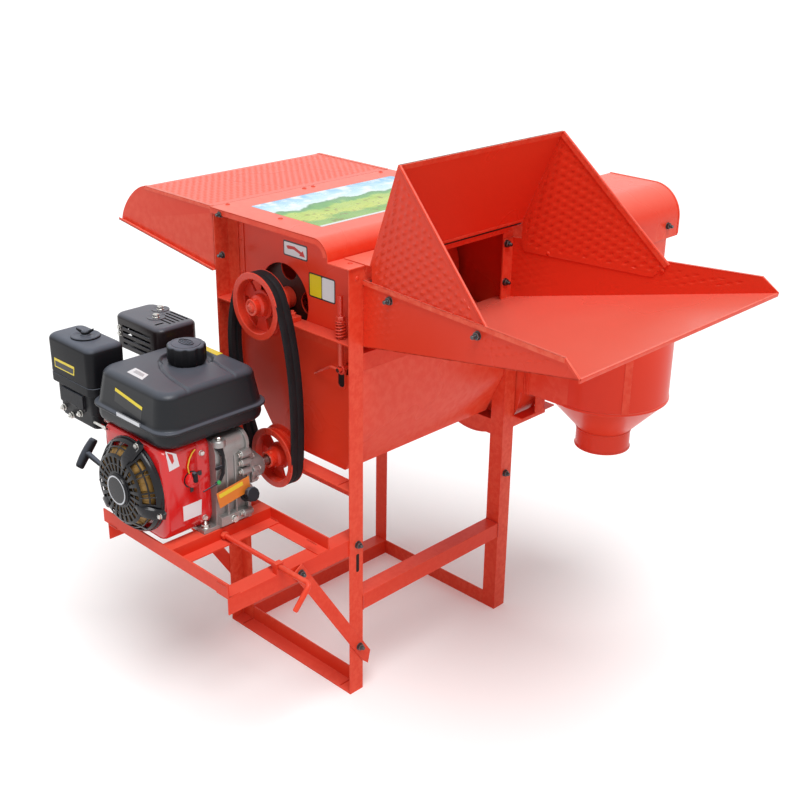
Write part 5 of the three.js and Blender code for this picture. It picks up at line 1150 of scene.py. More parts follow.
def groove_depth(x, y):
    """How deep the pressed line round the filler lies at a place on the tank's top."""
    near = 1e9
    for (ax, ay), (bx, by) in zip(GROOVE, GROOVE[1:]):
        run = (bx - ax) ** 2 + (by - ay) ** 2
        share = min(max(((x - ax) * (bx - ax) + (y - ay) * (by - ay)) / run, 0), 1)
        near = min(near, math.hypot(x - ax - share * (bx - ax), y - ay - share * (by - ay)))
    return 2.4 * smooth(1.5 - near / 2.6)


def tank_relief(x, y):
    """Dome, filler recess and pressed line of the tank's top, above its flat level."""
    middle = (TANK_LOW + TANK_HIGH) / 2
    half = (TANK_HIGH - TANK_LOW) / 2
    dome = 3.0 * max(0.0, 1 - ((x - middle.x) / half.x) ** 2) * max(0.0, 1 - ((y - middle.y) / half.y) ** 2)
    pit = 8.0 * smooth((60 - math.hypot(x - TANK_CAP.x, y - TANK_CAP.y)) / 9)
    return dome - pit - groove_depth(x, y)


def tank_side(z):
    """How far the tank's wall leans in at a height."""
    return TANK_FLANGE + TANK_LEAN * (z - TANK_SEAM) / (TANK_SHOULDER - TANK_SEAM)


def make_tank():
    low, high, seam, cap = TANK_LOW, TANK_HIGH, TANK_SEAM, TANK_CAP
    cap_low, cap_high = cad("fuel_cap")
    corner = 44.0
    rings = [(26, low.z), (15, low.z + 2.5), (9, low.z + 9), (7, low.z + 17), (7, seam - 1),
             (1.2, seam - 0.6), (0, seam + 1), (0, seam + 4), (1.4, seam + 5.6), (6.4, seam + 6.2)]
    rings += [(tank_side(z), z) for z in spread(seam + 8, TANK_SHOULDER, 8)]
    inner = TANK_FLANGE + TANK_LEAN + TANK_ROLL
    for t in spread(0, math.pi / 2, 12)[1:]:
        rings.append((inner - TANK_ROLL * math.cos(t), TANK_SHOULDER + TANK_ROLL * math.sin(t)))
    level = TANK_SHOULDER + TANK_ROLL
    reach = min(high.x - low.x, high.y - low.y) / 2 - 1.5
    rings += [(by, level) for by in spread(inner, reach, 62)[1:]]
    loops = []
    corner_points, side_points = 9, 84
    for by, z in rings:
        ring = shrunk(low, high, by, max(corner - by * 0.4, 1.0), corner_points)
        points = []
        share = smooth((by - inner + TANK_ROLL) / TANK_ROLL)
        for i, (u, v) in enumerate(ring):
            after = ring[(i + 1) % len(ring)]
            extra = side_points if i % (corner_points + 1) == corner_points else 1
            for k in range(extra):
                x, y = lerp(u, after[0], k / extra), lerp(v, after[1], k / extra)
                points.append(lift("z", x, y, z + (tank_relief(x, y) * share if share else 0.0)))
        loops.append(points)
    piece("tank_shell", Form().loft(loops), satin_black, stands_for="fuel_tank", slot="black_paint",
          angle=50)

    neck = Form().turned((cap.x, cap.y, 0), Z, [(24, cap_low.z), (24, cap_high.z - 24)], 32)
    piece("tank_neck", neck, zinc, slot="shaft_steel")

    radius, lobes, sides = (cap_high.x - cap_low.x) / 2, 9, 144
    profile = [(0.88, 6.3, 0.0), (0.93, 7.0, 0.3), (0.96, 10, 0.8), (1.0, 13, 1.0), (1.0, 31, 1.0),
               (0.985, 33.5, 0.9), (0.95, 35.6, 0.6), (0.90, 36.6, 0.3), (0.80, 37.0, 0.0),
               (0.77, 36.2, 0.0), (0.74, 36.2, 0.0), (0.72, 37.2, 0.0), (0.50, 38.6, 0.0), (0.30, 39.4, 0.0),
               (0.06, 39.8, 0.0)]
    loops = []
    taller = cap_high.z - cap_low.z - 46.4
    for share, up, depth in profile:
        loop = []
        level = cap_low.z + up + (taller if up > 20 else 0.0)
        for i in range(sides):
            t = 2 * math.pi * i / sides
            notch = 0.065 * depth * (0.5 + 0.5 * math.cos(lobes * t)) ** 3
            loop.append(Vector((cap.x + radius * (share - notch) * math.cos(t),
                                cap.y + radius * (share - notch) * math.sin(t), level)))
        loops.append(loop)
    lid = Form().loft(loops)
    mark_z = cap_high.z - 6.2
    lid.tube([(cap.x + 21 * math.cos(t), cap.y + 12 * math.sin(t), mark_z)
              for t in spread(0, 2 * math.pi, 49)], 1.1, 8)
    for step in (-5, 0, 5):
        lid.tube([(cap.x - 14, cap.y + step, mark_z), (cap.x + 14, cap.y + step, mark_z)], 0.9, 8)
    piece("filler_lid", lid, black_plastic, "fuel_cap", "fuel_cap", "black_plastic", angle=40)


def make_cleaner():
    low, high = cad("air_cleaner")
    lid_low = Vector((low.x, low.y, low.z + 86))
    lid_high = Vector((high.x, high.y, high.z - 21))
    form = Form()
    form.loft(soft_rings(lid_low, lid_high, 20, 16, 14, 8,
                         base=((2.2, -0.2), (0, 0.8), (0, 20), (1.6, 21), (1.6, 23), (0.2, 24), (0.4, 40))))
    foot_low = Vector((low.x + 9, low.y + 9, low.z))
    foot_high = Vector((high.x - 9, high.y - 9, lid_low.z + 1))
    form.loft(soft_rings(foot_low, foot_high, 18, 1, 1, 3,
                         base=((14, 0), (6, 3), (3, 10), (3, 34), (0, 38))))
    for share in (0.25, 0.5, 0.75):
        x = lerp(foot_low.x, foot_high.x, share)
        form.block((x - 3, foot_low.y - 2, low.z + 40), (x + 3, foot_low.y + 6, lid_low.z - 2))
    form.block((low.x + 40, low.y + 3, low.z + 46), (high.x - 46, low.y + 12, lid_low.z - 8))
    piece("cleaner_case", form, black_plastic, stands_for="air_cleaner", slot="black_plastic", bevel=1.0,
          angle=40)

    knob = Form()
    centre = Vector((low.x + 87, low.y + 50, lid_high.z - 0.4))
    rose = [(33, 0), (33, 3.6), (31.5, 5), (27, 5.4), (25, 4.4), (12, 4.4), (11, 6), (9, 7)]
    knob.turned(centre, Z, rose, 56)
    knob.turned(centre, Z, [(9, 6), (9.5, 8), (9.5, 12), (8, 14), (6.5, 15)], 28)
    for side in (-1, 1):
        loops = []
        for share in spread(0, 1, 7):
            reach = 5 + 15 * share
            half = 5.2 * (1 - 0.45 * share)
            rise = 9 + 9 * share
            at = centre + Vector((side * reach * 0.8, side * reach * 0.6, rise))
            blade = [(2.0 * u, half * v) for u, v in circle(12)]
            loops.append([at + Vector((-0.6 * a, 0.8 * a, b)) for a, b in blade])
        knob.loft(loops)
    piece("cleaner_wing_nut", knob, black_plastic, slot="black_plastic", bevel=0.5)

    small = Form()
    for x, z in ((low.x + 30, low.z + 20), (low.x + 62, low.z + 10), (low.x + 100, low.z + 26)):
        bolt(small, (x, foot_low.y + 4, z), -Y, 8.0, 3)
    bolt(small, (foot_high.x - 3, low.y + 40, low.z + 24), X, 8.0, 3)
    hardware("cleaner_bolts", small, zinc, 0.3)

    carb = Form()
    carb.block((CRANK.x - 236, low.y + 84, low.z + 8), (CRANK.x - 130, low.y + 108, low.z + 54))
    carb.turned((CRANK.x - 190, low.y + 96, low.z - 18), Z, [(14, 0), (17, 2), (17, 24), (14, 27)], 32)
    piece("carburettor", carb, cast_alloy, slot="cast_alloy", bevel=1.5)


def make_muffler():
    low, high = cad("muffler")
    guard = Form().loft(soft_rings(low, high, 22, 12, 10, 8, base=((1.5, 0), (0, 1.5), (0, 20))))
    obj = piece("muffler_guard", guard, guard_black, stands_for="muffler", slot="black_paint", angle=40)
    hollow = soft_rings(low + Vector((2.2, 2.2, 2.2)), high - Vector((2.2, 2.2, 2.2)), 20, 10, 8, 6)
    slots = Form()
    for y in (high.y - 14, high.y - 26, high.y - 38, high.y - 50, high.y - 62):
        slots.prism(rounded((high.x - 92, y - 2.6), (high.x - 22, y + 2.6), 2.4, 4), "z", high.z - 8,
                    high.z + 5)
    slots.prism(rounded((high.x - 42, low.y + 18), (high.x - 35, low.y + 42), 3, 4), "z", high.z - 8,
                high.z + 5)
    for z in (low.z + 14, low.z + 28, low.z + 42, low.z + 56):
        slots.prism(rounded((low.x + 34, z - 3.2), (high.x - 34, z + 3.2), 3, 4), "y", low.y - 5, low.y + 8)
        slots.prism(rounded((low.y + 30, z - 3.2), (high.y - 30, z + 3.2), 3, 4), "x", low.x - 5, low.x + 8)
    carve(obj, Form().loft(hollow))
    carve(obj, slots)
    obj.data.shade_smooth()
    obj.data.set_sharp_from_angle(angle=math.radians(40))
    inside = Form()
    middle = (low + high) / 2
    can = [(22, 0), (29, 4), (30, 8), (30, 92), (31.5, 93), (31.5, 96), (30, 97), (30, high.x - low.x - 36),
           (22, high.x - low.x - 30)]
    inside.turned((low.x + 14, middle.y, middle.z - 2), X, can, 48)
    piece("muffler_can", inside, guard_black, slot="black_paint")
    plates, bolts = Form(), Form()
    for x, y in ((low.x + 58, high.y - 20), (low.x + 98, high.y - 60)):
        plates.turned((x, y, high.z - 0.2), Z, [(22, 0), (21, 1.6), (14, 1.2), (9, 0.4)], 40)
        bolt(bolts, (x, y, high.z + 0.4), Z, 9.0)
    for z in (low.z + 34, low.z + 50):
        bolt(bolts, (low.x + 22, low.y + 0.5, z), -Y, 6.0)
    piece("muffler_washers", plates, guard_black, slot="black_paint")
    hardware("muffler_bolts", bolts, zinc, 0.4)


def shroud_outline(inset, top):
    right = CRANK.x + 108 - inset
    return [*arc(CRANK.x, CRANK.z, 108 - inset, 180, 270, 24),
            *arc(CRANK.x + 72, CRANK.z - 72, 36 - inset, 270, 360, 10),
            *arc(right - 20, top - 20 - inset, 20, 0, 90, 8),
            *arc(CRANK.x - 96 + inset, top - 12 - inset, 12, 90, 180, 6)]


def make_shroud():
    low, high = cad("fan_shroud")
    near, far, top = low.y, high.y, high.z
    loops = []
    for inset, y in ((14, near), (6, near + 1.2), (2, near + 4.5), (0, near + 10), (0, near + 84),
                     (1.4, near + 86), (1.4, near + 90), (0, near + 92), (0, far - 6), (3.5, far - 5.4),
                     (3.5, far)):
        loops.append(laid("y", shroud_outline(inset, top), y))
    piece("shroud_shell", Form().loft(loops), engine_enamel, stands_for="fan_shroud", slot="engine_red",
          angle=40)
    trim = Form()
    ring = [(101, near + 0.8), (104, near - 0.6), (107, near + 0.2), (107, near + 3), (101, near + 3)]
    trim.turned(CRANK, Y, ring, 96, closed=True)
    trim.prism(rounded((6, top - 13), (40, top - 6), 3.2, 5), "y", near - 0.4, near + 1.4)
    piece("shroud_trim", trim, engine_enamel, slot="engine_red", bevel=0.4)
    # Painted shade: a dark plate in the trim where the slot's shadowed depth shows
    slot = Form().prism(rounded((10, top - 11.4), (36, top - 7.6), 1.8, 5), "y", near - 0.7, near + 1.0)
    piece("shroud_slot_shade", slot, painted_shade, slot="engine_red")
    bolts = Form()
    for y, z in ((near + 98, low.z + 30), (near + 98, top - 30)):
        bolt(bolts, (high.x - 0.5, y, z), X, 6.5)
    bolt(bolts, (high.x - 14, near + 70, top - 1), Z, 6.0)
    hardware("shroud_bolts", bolts, zinc, 0.3)


def make_recoil():
    low, high = cad("recoil_cover")
    near, back = low.y, high.y
    face, rim_near = near + 5.0, back - 14.0
    steps = 144
    profile = [(36, face), (41, face), (56, face), (59, face), (73, face + 0.6), (77, face + 1.6),
               (80, face + 3.6), (90, face + 14), (92.5, face + 16.5), (100, face + 24), (102.5, rim_near),
               (105, rim_near + 3), (106, rim_near + 7), (106, back - 4), (107.5, back - 3.4), (107.5, back)]
    arm_turns = (70, 221, 343)
    slit_bands, window_bands = (1, 3), (6, 8)
    clear_of_arm, window_share = 13, 0.44

    def near_arm(turn):
        return min(abs((turn - a + 180) % 360 - 180) for a in arm_turns)

    def open_cell(band, step):
        turn = (step + 0.5) * 360 / steps
        if band in slit_bands:
            return step % 6 < 3
        if band in window_bands:
            pairs = zip(arm_turns, arm_turns[1:] + arm_turns[:1])
            spans = [((turn - a) % 360, (b - a) % 360) for a, b in pairs]
            past, whole = min(span for span in spans if span[0] < span[1])
            return near_arm(turn) > clear_of_arm and abs(past / whole * 3 % 1 - 0.5) < window_share
        return False

    points, faces = [], []
    for radius, y in profile:
        for step in range(steps):
            t = 2 * math.pi * step / steps
            points.append((CRANK.x + radius * math.cos(t), y, CRANK.z + radius * math.sin(t)))
    for band in range(len(profile) - 1):
        for step in range(steps):
            if not open_cell(band, step):
                after = (step + 1) % steps
                faces.append((band * steps + step, band * steps + after, (band + 1) * steps + after,
                              (band + 1) * steps + step))
    cover = piece("starter_cover", Form().add(points, faces), starter_black, stands_for="recoil_cover",
                  slot="black_paint")
    thick = cover.modifiers.new("wall", "SOLIDIFY")
    thick.thickness, thick.offset = 3.0 * MM, -1.0
    rounding(cover, 0.7, 2, 35)

    hub = Form()
    for turn in spread(0, 330, 12):
        out = outward(math.radians(turn + 5))
        start, end = CRANK + Y * (face + 1.4) + out * 77, CRANK + Y * rim_near + out * 102
        hub.tube([start, start.lerp(end, 0.5), end], 1.3, 8)
    cup = [(37, -face - 1), (37, -face + 1.4), (35.5, -face + 2.4), (34.5, -near), (33, -near + 0.2)]
    hub.turned(CRANK, -Y, cup, 64)
    for turn in arm_turns:
        out = outward(math.radians(turn))
        across = Vector((-out.z, 0, out.x))
        loops = []
        for reach, half, y in ((62, 5, face - 0.5), (74, 9, face - 2.0), (88, 12, face + 2),
                               (99, 12, face + 10), (107, 11, face + 20), (112, 9, back - 13),
                               (119, 6, back - 12)):
            arm = ((-half - 3, y + 9), (-half, y + 1.5), (-half + 3, y), (half - 3, y), (half, y + 1.5),
                   (half + 3, y + 9))
            loops.append(placed(CRANK + out * reach, across, Y, arm))
        hub.loft(loops)
    piece("starter_arms", hub, starter_black, slot="black_paint", bevel=1.6, segments=3)

    badge = Form()
    for paint, ring in (
            (0, [(34.5, -near - 1), (34.5, -near + 0.8), (32, -near + 1.2), (31.6, -near + 0.4)]),
            (1, [(32.6, -near), (32.6, -near + 1.3), (29.2, -near + 1.3)]),
            (0, [(29.4, -near), (29.4, -near + 1.4), (27, -near + 1.5)])):
        badge.turned(CRANK, -Y, ring, 72, paint)
    piece("starter_badge", badge, [starter_black, silver_foil], slot="black_paint")

    screen = Form()
    drum = [(30, face + 9), (74, face + 9), (88, face + 20), (89, face + 30), (30, face + 30)]
    screen.turned(CRANK, Y, drum, 96)
    ribs = 36
    for i in range(ribs):
        out = outward(2 * math.pi * (i + 0.5) / ribs)
        axis = CRANK + Y * (face + 9.0)
        screen.tube([axis + out * 38, axis + out * 73, axis + out * 87 + Y * 11], 2.4, 6)
    piece("starter_screen", screen, screen_ochre, slot="black_paint")

    bolts = Form()
    for turn in arm_turns:
        t = math.radians(turn)
        bolt(bolts, (CRANK.x + 112 * math.cos(t), back - 13, CRANK.z + 112 * math.sin(t)), -Y, 6.5)
    hardware("starter_bolts", bolts, zinc, 0.3)


def make_handle():
    rope_y = cad("fan_shroud")[0].y - FIT - 7.0
    rope_z = CRANK.z + 4.0
    rope_x = CRANK.x - 106.0
    handle_x = rope_x - 72.0
    tilt = math.radians(52)
    along = Vector((0, math.cos(tilt), math.sin(tilt)))
    centre = Vector((handle_x, rope_y, rope_z + 8.0))
    form = Form()
    loops = []
    for share in spread(-1, 1, 21):
        grip = 12.0 - 1.8 * share ** 2
        if abs(share) > 0.96:
            grip *= 0.8
        across = X * grip
        thick = along.cross(X) * grip * 0.88
        at = centre + along * (36 * share) + X * (2.5 * share ** 2)
        loops.append(placed(at, across, thick, circle(24)))
    form.loft(loops)
    exit_point = Vector((rope_x - 1.5, rope_y, rope_z))
    neck = [centre + X * 4, centre + X * 16 - Z * 0.8, exit_point - X * 16, exit_point - X * 5, exit_point]
    form.tube(neck, [8.5, 6.4, 5.6, 6.6, 6.6], 20)
    piece("starter_grip", form, black_plastic, "pull_handle", "pull_handle", "black_plastic", bevel=1.0,
          angle=45)


def make_block():
    low = cad("engine_block")[0]
    near, far = cad("fan_shroud")[1].y + FIT, cad("reduction_case")[0].y - FIT
    base = low.z
    right = cad("leg_a")[1].x - 190.0
    seat = cad("fuel_tank")[0].z
    left = CRANK.x - 56
    form = Form()
    case = [(left, base + 4), (right - 8, base + 4), (right - 5, base + 60), (right, base + 90),
            (right, seat - 44), *arc(right - 26, seat - 36, 26, 0, 90, 8), (left, seat - 1)]
    form.prism(case, "y", near, far)
    form.prism(rectangle(57, base, 243, base + 10), "y", low.y, far)
    form.prism([(right - 12, base + 8), (right + 4, base + 8), (right + 4, base + 30),
                (right - 12, base + 34)], "y", near + 6, far)
    for y in (near + 26, near + 48):
        form.prism([(right - 6, base + 28), (right + 3, base + 30), (right + 3, seat - 60),
                    (right - 6, seat - 30)], "y", y, y + 3.5)
    flange = [(left, base + 6), (right + 5, base + 6), (right + 5, seat - 42),
              *arc(right - 24, seat - 36, 30, 0, 80, 8), (left, seat - 4)]
    form.prism(flange, "y", far - 9, far - 0.6)
    for z in (base + 22, base + 78, base + 122, base + 144, base + 164):
        form.turned((right + 4, far - 26, z), Y, [(8.5, 0), (9.5, 1.5), (9.5, 20), (8.5, 26)], 24)
    form.turned((right - 2, near + 12, base + 200), Z, [(15, 0), (15, 12), (12, 15)], 28)
    piece("crankcase", form, cast_alloy, stands_for="engine_block", slot="cast_alloy", bevel=1.8, angle=32)

    tilt = math.radians(12)
    back = Vector((-math.cos(tilt), 0, math.sin(tilt)))
    up = Vector((math.sin(tilt), 0, math.cos(tilt)))
    barrel = Form()

    def slab(start, end, half, ys):
        edge = rectangle(-half, ys[0], half, ys[1])
        barrel.loft([placed(CRANK + back * reach, up, Y, edge) for reach in (start, end)])

    slab(40, 150, 34, (near + 10, far - 10))
    fins, pitch, fin_start, fin_end = 10, 8.4, 58, 60.4
    for i in range(fins):
        slab(fin_start + i * pitch, fin_end + i * pitch, 49, (near + 5, far - 4))
    slab(143, 149.5, 46, (near + 6, far - 6))
    elbow_x = cad("muffler")[1].x - 26
    barrel.block((elbow_x - 24, far - 24, CRANK.z + 2), (CRANK.x - 130, far - 2, CRANK.z + 50))
    barrel.tube([(elbow_x, far - 10, CRANK.z + 26), (elbow_x, far + 22, CRANK.z + 30),
                 (elbow_x, far + 34, CRANK.z + 60), (elbow_x, far + 34, cad("muffler")[0].z + 2)], 17, 24)
    carb_x = cad("air_cleaner")[1].x - 87
    barrel.block((carb_x - 22, cad("air_cleaner")[1].y - 9, seat - 48), (CRANK.x - 109, near + 44, seat - 4))
    piece("cylinder_fins", barrel, cast_alloy, slot="cast_alloy", bevel=0.8)

    bolts = Form()
    for z in (base + 22, base + 122, base + 144, base + 164):
        bolt(bolts, (right + 4, far - 26, z), -Y, 6.5)
    for x, y in ((231, -182), (231, -232), (69, -182), (69, -232)):
        bolt(bolts, (x, y, base + 10), Z, 9.5, 6)
    bolt(bolts, (right - 2, near + 12, base + 215), Z, 7.0)
    bolt(bolts, (right + 4, near + 40, base + 18), X, 9.0)
    hardware("engine_bolts", bolts, zinc, 0.3)

    links = Form()
    x = right + 5
    arm = [(near + 4, base + 206), (near + 16, base + 196), (near + 20, base + 178), (near + 18, base + 136),
           (near + 6, base + 118), (near - 8, base + 116), (near - 8, base + 124), (near + 2, base + 126),
           (near + 10, base + 140), (near + 12, base + 176), (near + 6, base + 190), (near - 2, base + 198)]
    links.prism(arm, "x", x, x + 2.5)
    links.prism(rounded((near - 6, base + 150), (near + 14, base + 158), 3, 4), "x", x + 0.4, x + 3)
    links.tube([(x + 3, near - 4, base + 120), (x + 1, near - 40, base + 112)], 1.6, 8)
    piece("governor_arm", links, black_plastic, slot="black_paint", bevel=0.6)
    dot = Form().turned((x + 2.4, near, base + 121), X, [(4.6, 0), (4.6, 2.4), (3.6, 3.2)], 24)
    piece("governor_dot", dot, green_mark, slot="black_paint")

    dip = Form()
    plug = [(15, 0), (15, 7), (12, 8), (12, 18), (14, 19), (17, 21), (17, 31), (15, 33)]
    dip.turned((right + 2, far - 14, base + 62), X + Z * 0.45, plug, 10, start=0.2)
    piece("dipstick_cap", dip, black_plastic, slot="black_plastic", bevel=1.4, segments=3)
    tag = Form()
    corners = [(near - 12, base + 100), (near + 76, base + 112), (near + 80, base + 76),
               (near - 4, base + 62)]
    tag.prism(corners, "x", x + 8, x + 9.2)
    stripe = [(near - 6, base + 96), (near + 58, base + 106), (near + 60, base + 96), (near - 4, base + 86)]
    tag.prism(stripe, "x", x + 9.1, x + 9.5, paint=1)
    piece("service_tag", tag, [tag_orange, vinyl_yellow], slot="switch_red", bevel=0.4)

    low, high = cad("reduction_case")
    lean = math.degrees(math.acos((52 - 30) / 108))
    out_x = CRANK.x + 108

    def outline(inset):
        return [*arc(CRANK.x, CRANK.z, 52 - inset, lean, 360 - lean, 40),
                *arc(out_x, CRANK.z, 30 - inset, -lean, lean, 22)]

    cover = Form()
    loops = []
    for inset, y in ((0, low.y), (0, low.y + 9), (4, low.y + 10), (4, high.y - 9), (6, high.y - 4),
                     (12, high.y)):
        loops.append(laid("y", outline(inset), y))
    cover.loft(loops)
    cover.turned((out_x, 0, CRANK.z), Y, [(20, high.y - 2), (20, high.y + 0.6), (17, high.y + 1)], 40)
    for u, v in outline(1.5)[::9]:
        cover.turned((u, low.y + 2, v), Y, [(6.5, 0), (6.5, 16), (5, 18)], 20)
    piece("gear_case", cover, cast_alloy, stands_for="reduction_case", slot="cast_alloy", bevel=1.2,
          angle=38)
    ring = Form()
    for u, v in outline(1.5)[::9]:
        bolt(ring, (u, low.y + 19.5, v), Y, 5.0)
    hardware("gear_case_bolts", ring, zinc, 0.25)


def make_controls():
    low, high = cad("stop_switch")
    y, z = (low.y + high.y) / 2, low.z + 16.0
    form = Form()
    form.turned((low.x, y, z), X, [(16, 0), (16, 9), (15, 11), (11, 12), (11, 13), (9, 14)], 40)
    form.turned((low.x, y, z), X, [(12.6, 11.2), (12.2, 12.8), (11, 12.8), (11, 11.2)], 40, closed=True)
    piece("switch_knob", form, engine_enamel, "stop_switch", "stop_switch", "switch_red", angle=40)
    tip = Form().prism(rounded((y - 4.6, z - 2), (y + 4.6, z + 20.6), 3.4, 5), "x", low.x + 9, high.x)
    piece("switch_tip", tip, black_plastic, "stop_switch", slot="black_plastic", bevel=1.2)
    base = Form().turned((low.x - 0.3, y, z), X, [(19, -1), (19, 0.2), (17, 0.3)], 40)
    base.block((low.x - 1, y + 15, z + 2), (low.x + 1.6, y + 27, z + 12))
    base.block((low.x - 1, y - 4, z - 30), (low.x + 1.2, y + 4, z - 12))
    piece("switch_plate", base, starter_black, slot="black_plastic", bevel=0.4)
    lead = [(low.x + 1.5, -250, 646), (low.x + 1.8, -258, 640), (low.x + 1.8, -266, 628),
            (low.x + 1.8, -271, 612), (low.x + 1.8, -269, 598), (low.x + 1.8, -264, 588)]
    wire = Form().tube(lead, 1.5, 10)
    piece("switch_lead", wire, lead_yellow, slot="switch_red")

    low, high = cad("throttle_lever")
    pivot = Vector((high.x - 4.5, low.y, low.z + 4.5))
    form = Form()
    blade = [(low.x, pivot.z - 2.6), (low.x + 5, pivot.z - 3.2), (pivot.x - 4, pivot.z - 3.6),
             (pivot.x - 4, pivot.z + 3.6), (low.x + 5, pivot.z + 3.2), (low.x, pivot.z + 2.6)]
    form.prism(blade, "y", low.y + 0.6, high.y - 0.2)
    form.turned((pivot.x, high.y, pivot.z), -Y, [(5.2, 0), (5.2, 3.2), (4, 3.8)], 24)
    form.turned((low.x + 3, high.y + 2, pivot.z), -Y, [(2.4, 0), (2.4, 6)], 16)
    piece("throttle_blade", form, zinc, "throttle_lever", "throttle_lever", "shaft_steel", bevel=0.5)


# Tension screw with its bent handle
def make_screw():
    low = cad("tension_screw")[0]
    axis_y, axis_z, radius = -197.0, 426.0, 6.0
    bend_x = STAND_LENGTH + 96 - radius
    nut, nut_gap = [(8.4, 0), (9.3, 1), (9.3, 10), (8.4, 11)], 3.6
    crests, at = thread(radius, 5.35, low.x + 2, STAND_LENGTH - 20, 1.8)
    profile = [(4.8, low.x), (radius, low.x + 1.5), *crests, (radius, at), (radius, bend_x - 14)]
    form = Form().turned((0, axis_y, axis_z), X, profile, 20)
    slope = Vector((0, -0.66, -0.75)).normalized()
    elbow = Vector((bend_x, axis_y, axis_z))
    curve = [elbow - X * 16, elbow - X * 9, elbow - X * 4 + slope * 1.2, elbow + slope * 5 - X * 0.8,
             elbow + slope * 12]
    tip = Vector((bend_x, low.y + 5, low.z + 5))
    form.tube([*curve, tip - slope * 3, tip], [radius] * 6 + [4.4], 18)
    for nut_x in (low.x, low.x + nut[-1][1] + nut_gap):
        form.turned((nut_x, axis_y, axis_z), X, nut, 6)
    piece("screw_and_handle", form, enamel, "tension_screw", "tension_screw", "frame_red", bevel=0.4,
          segments=1, angle=50)


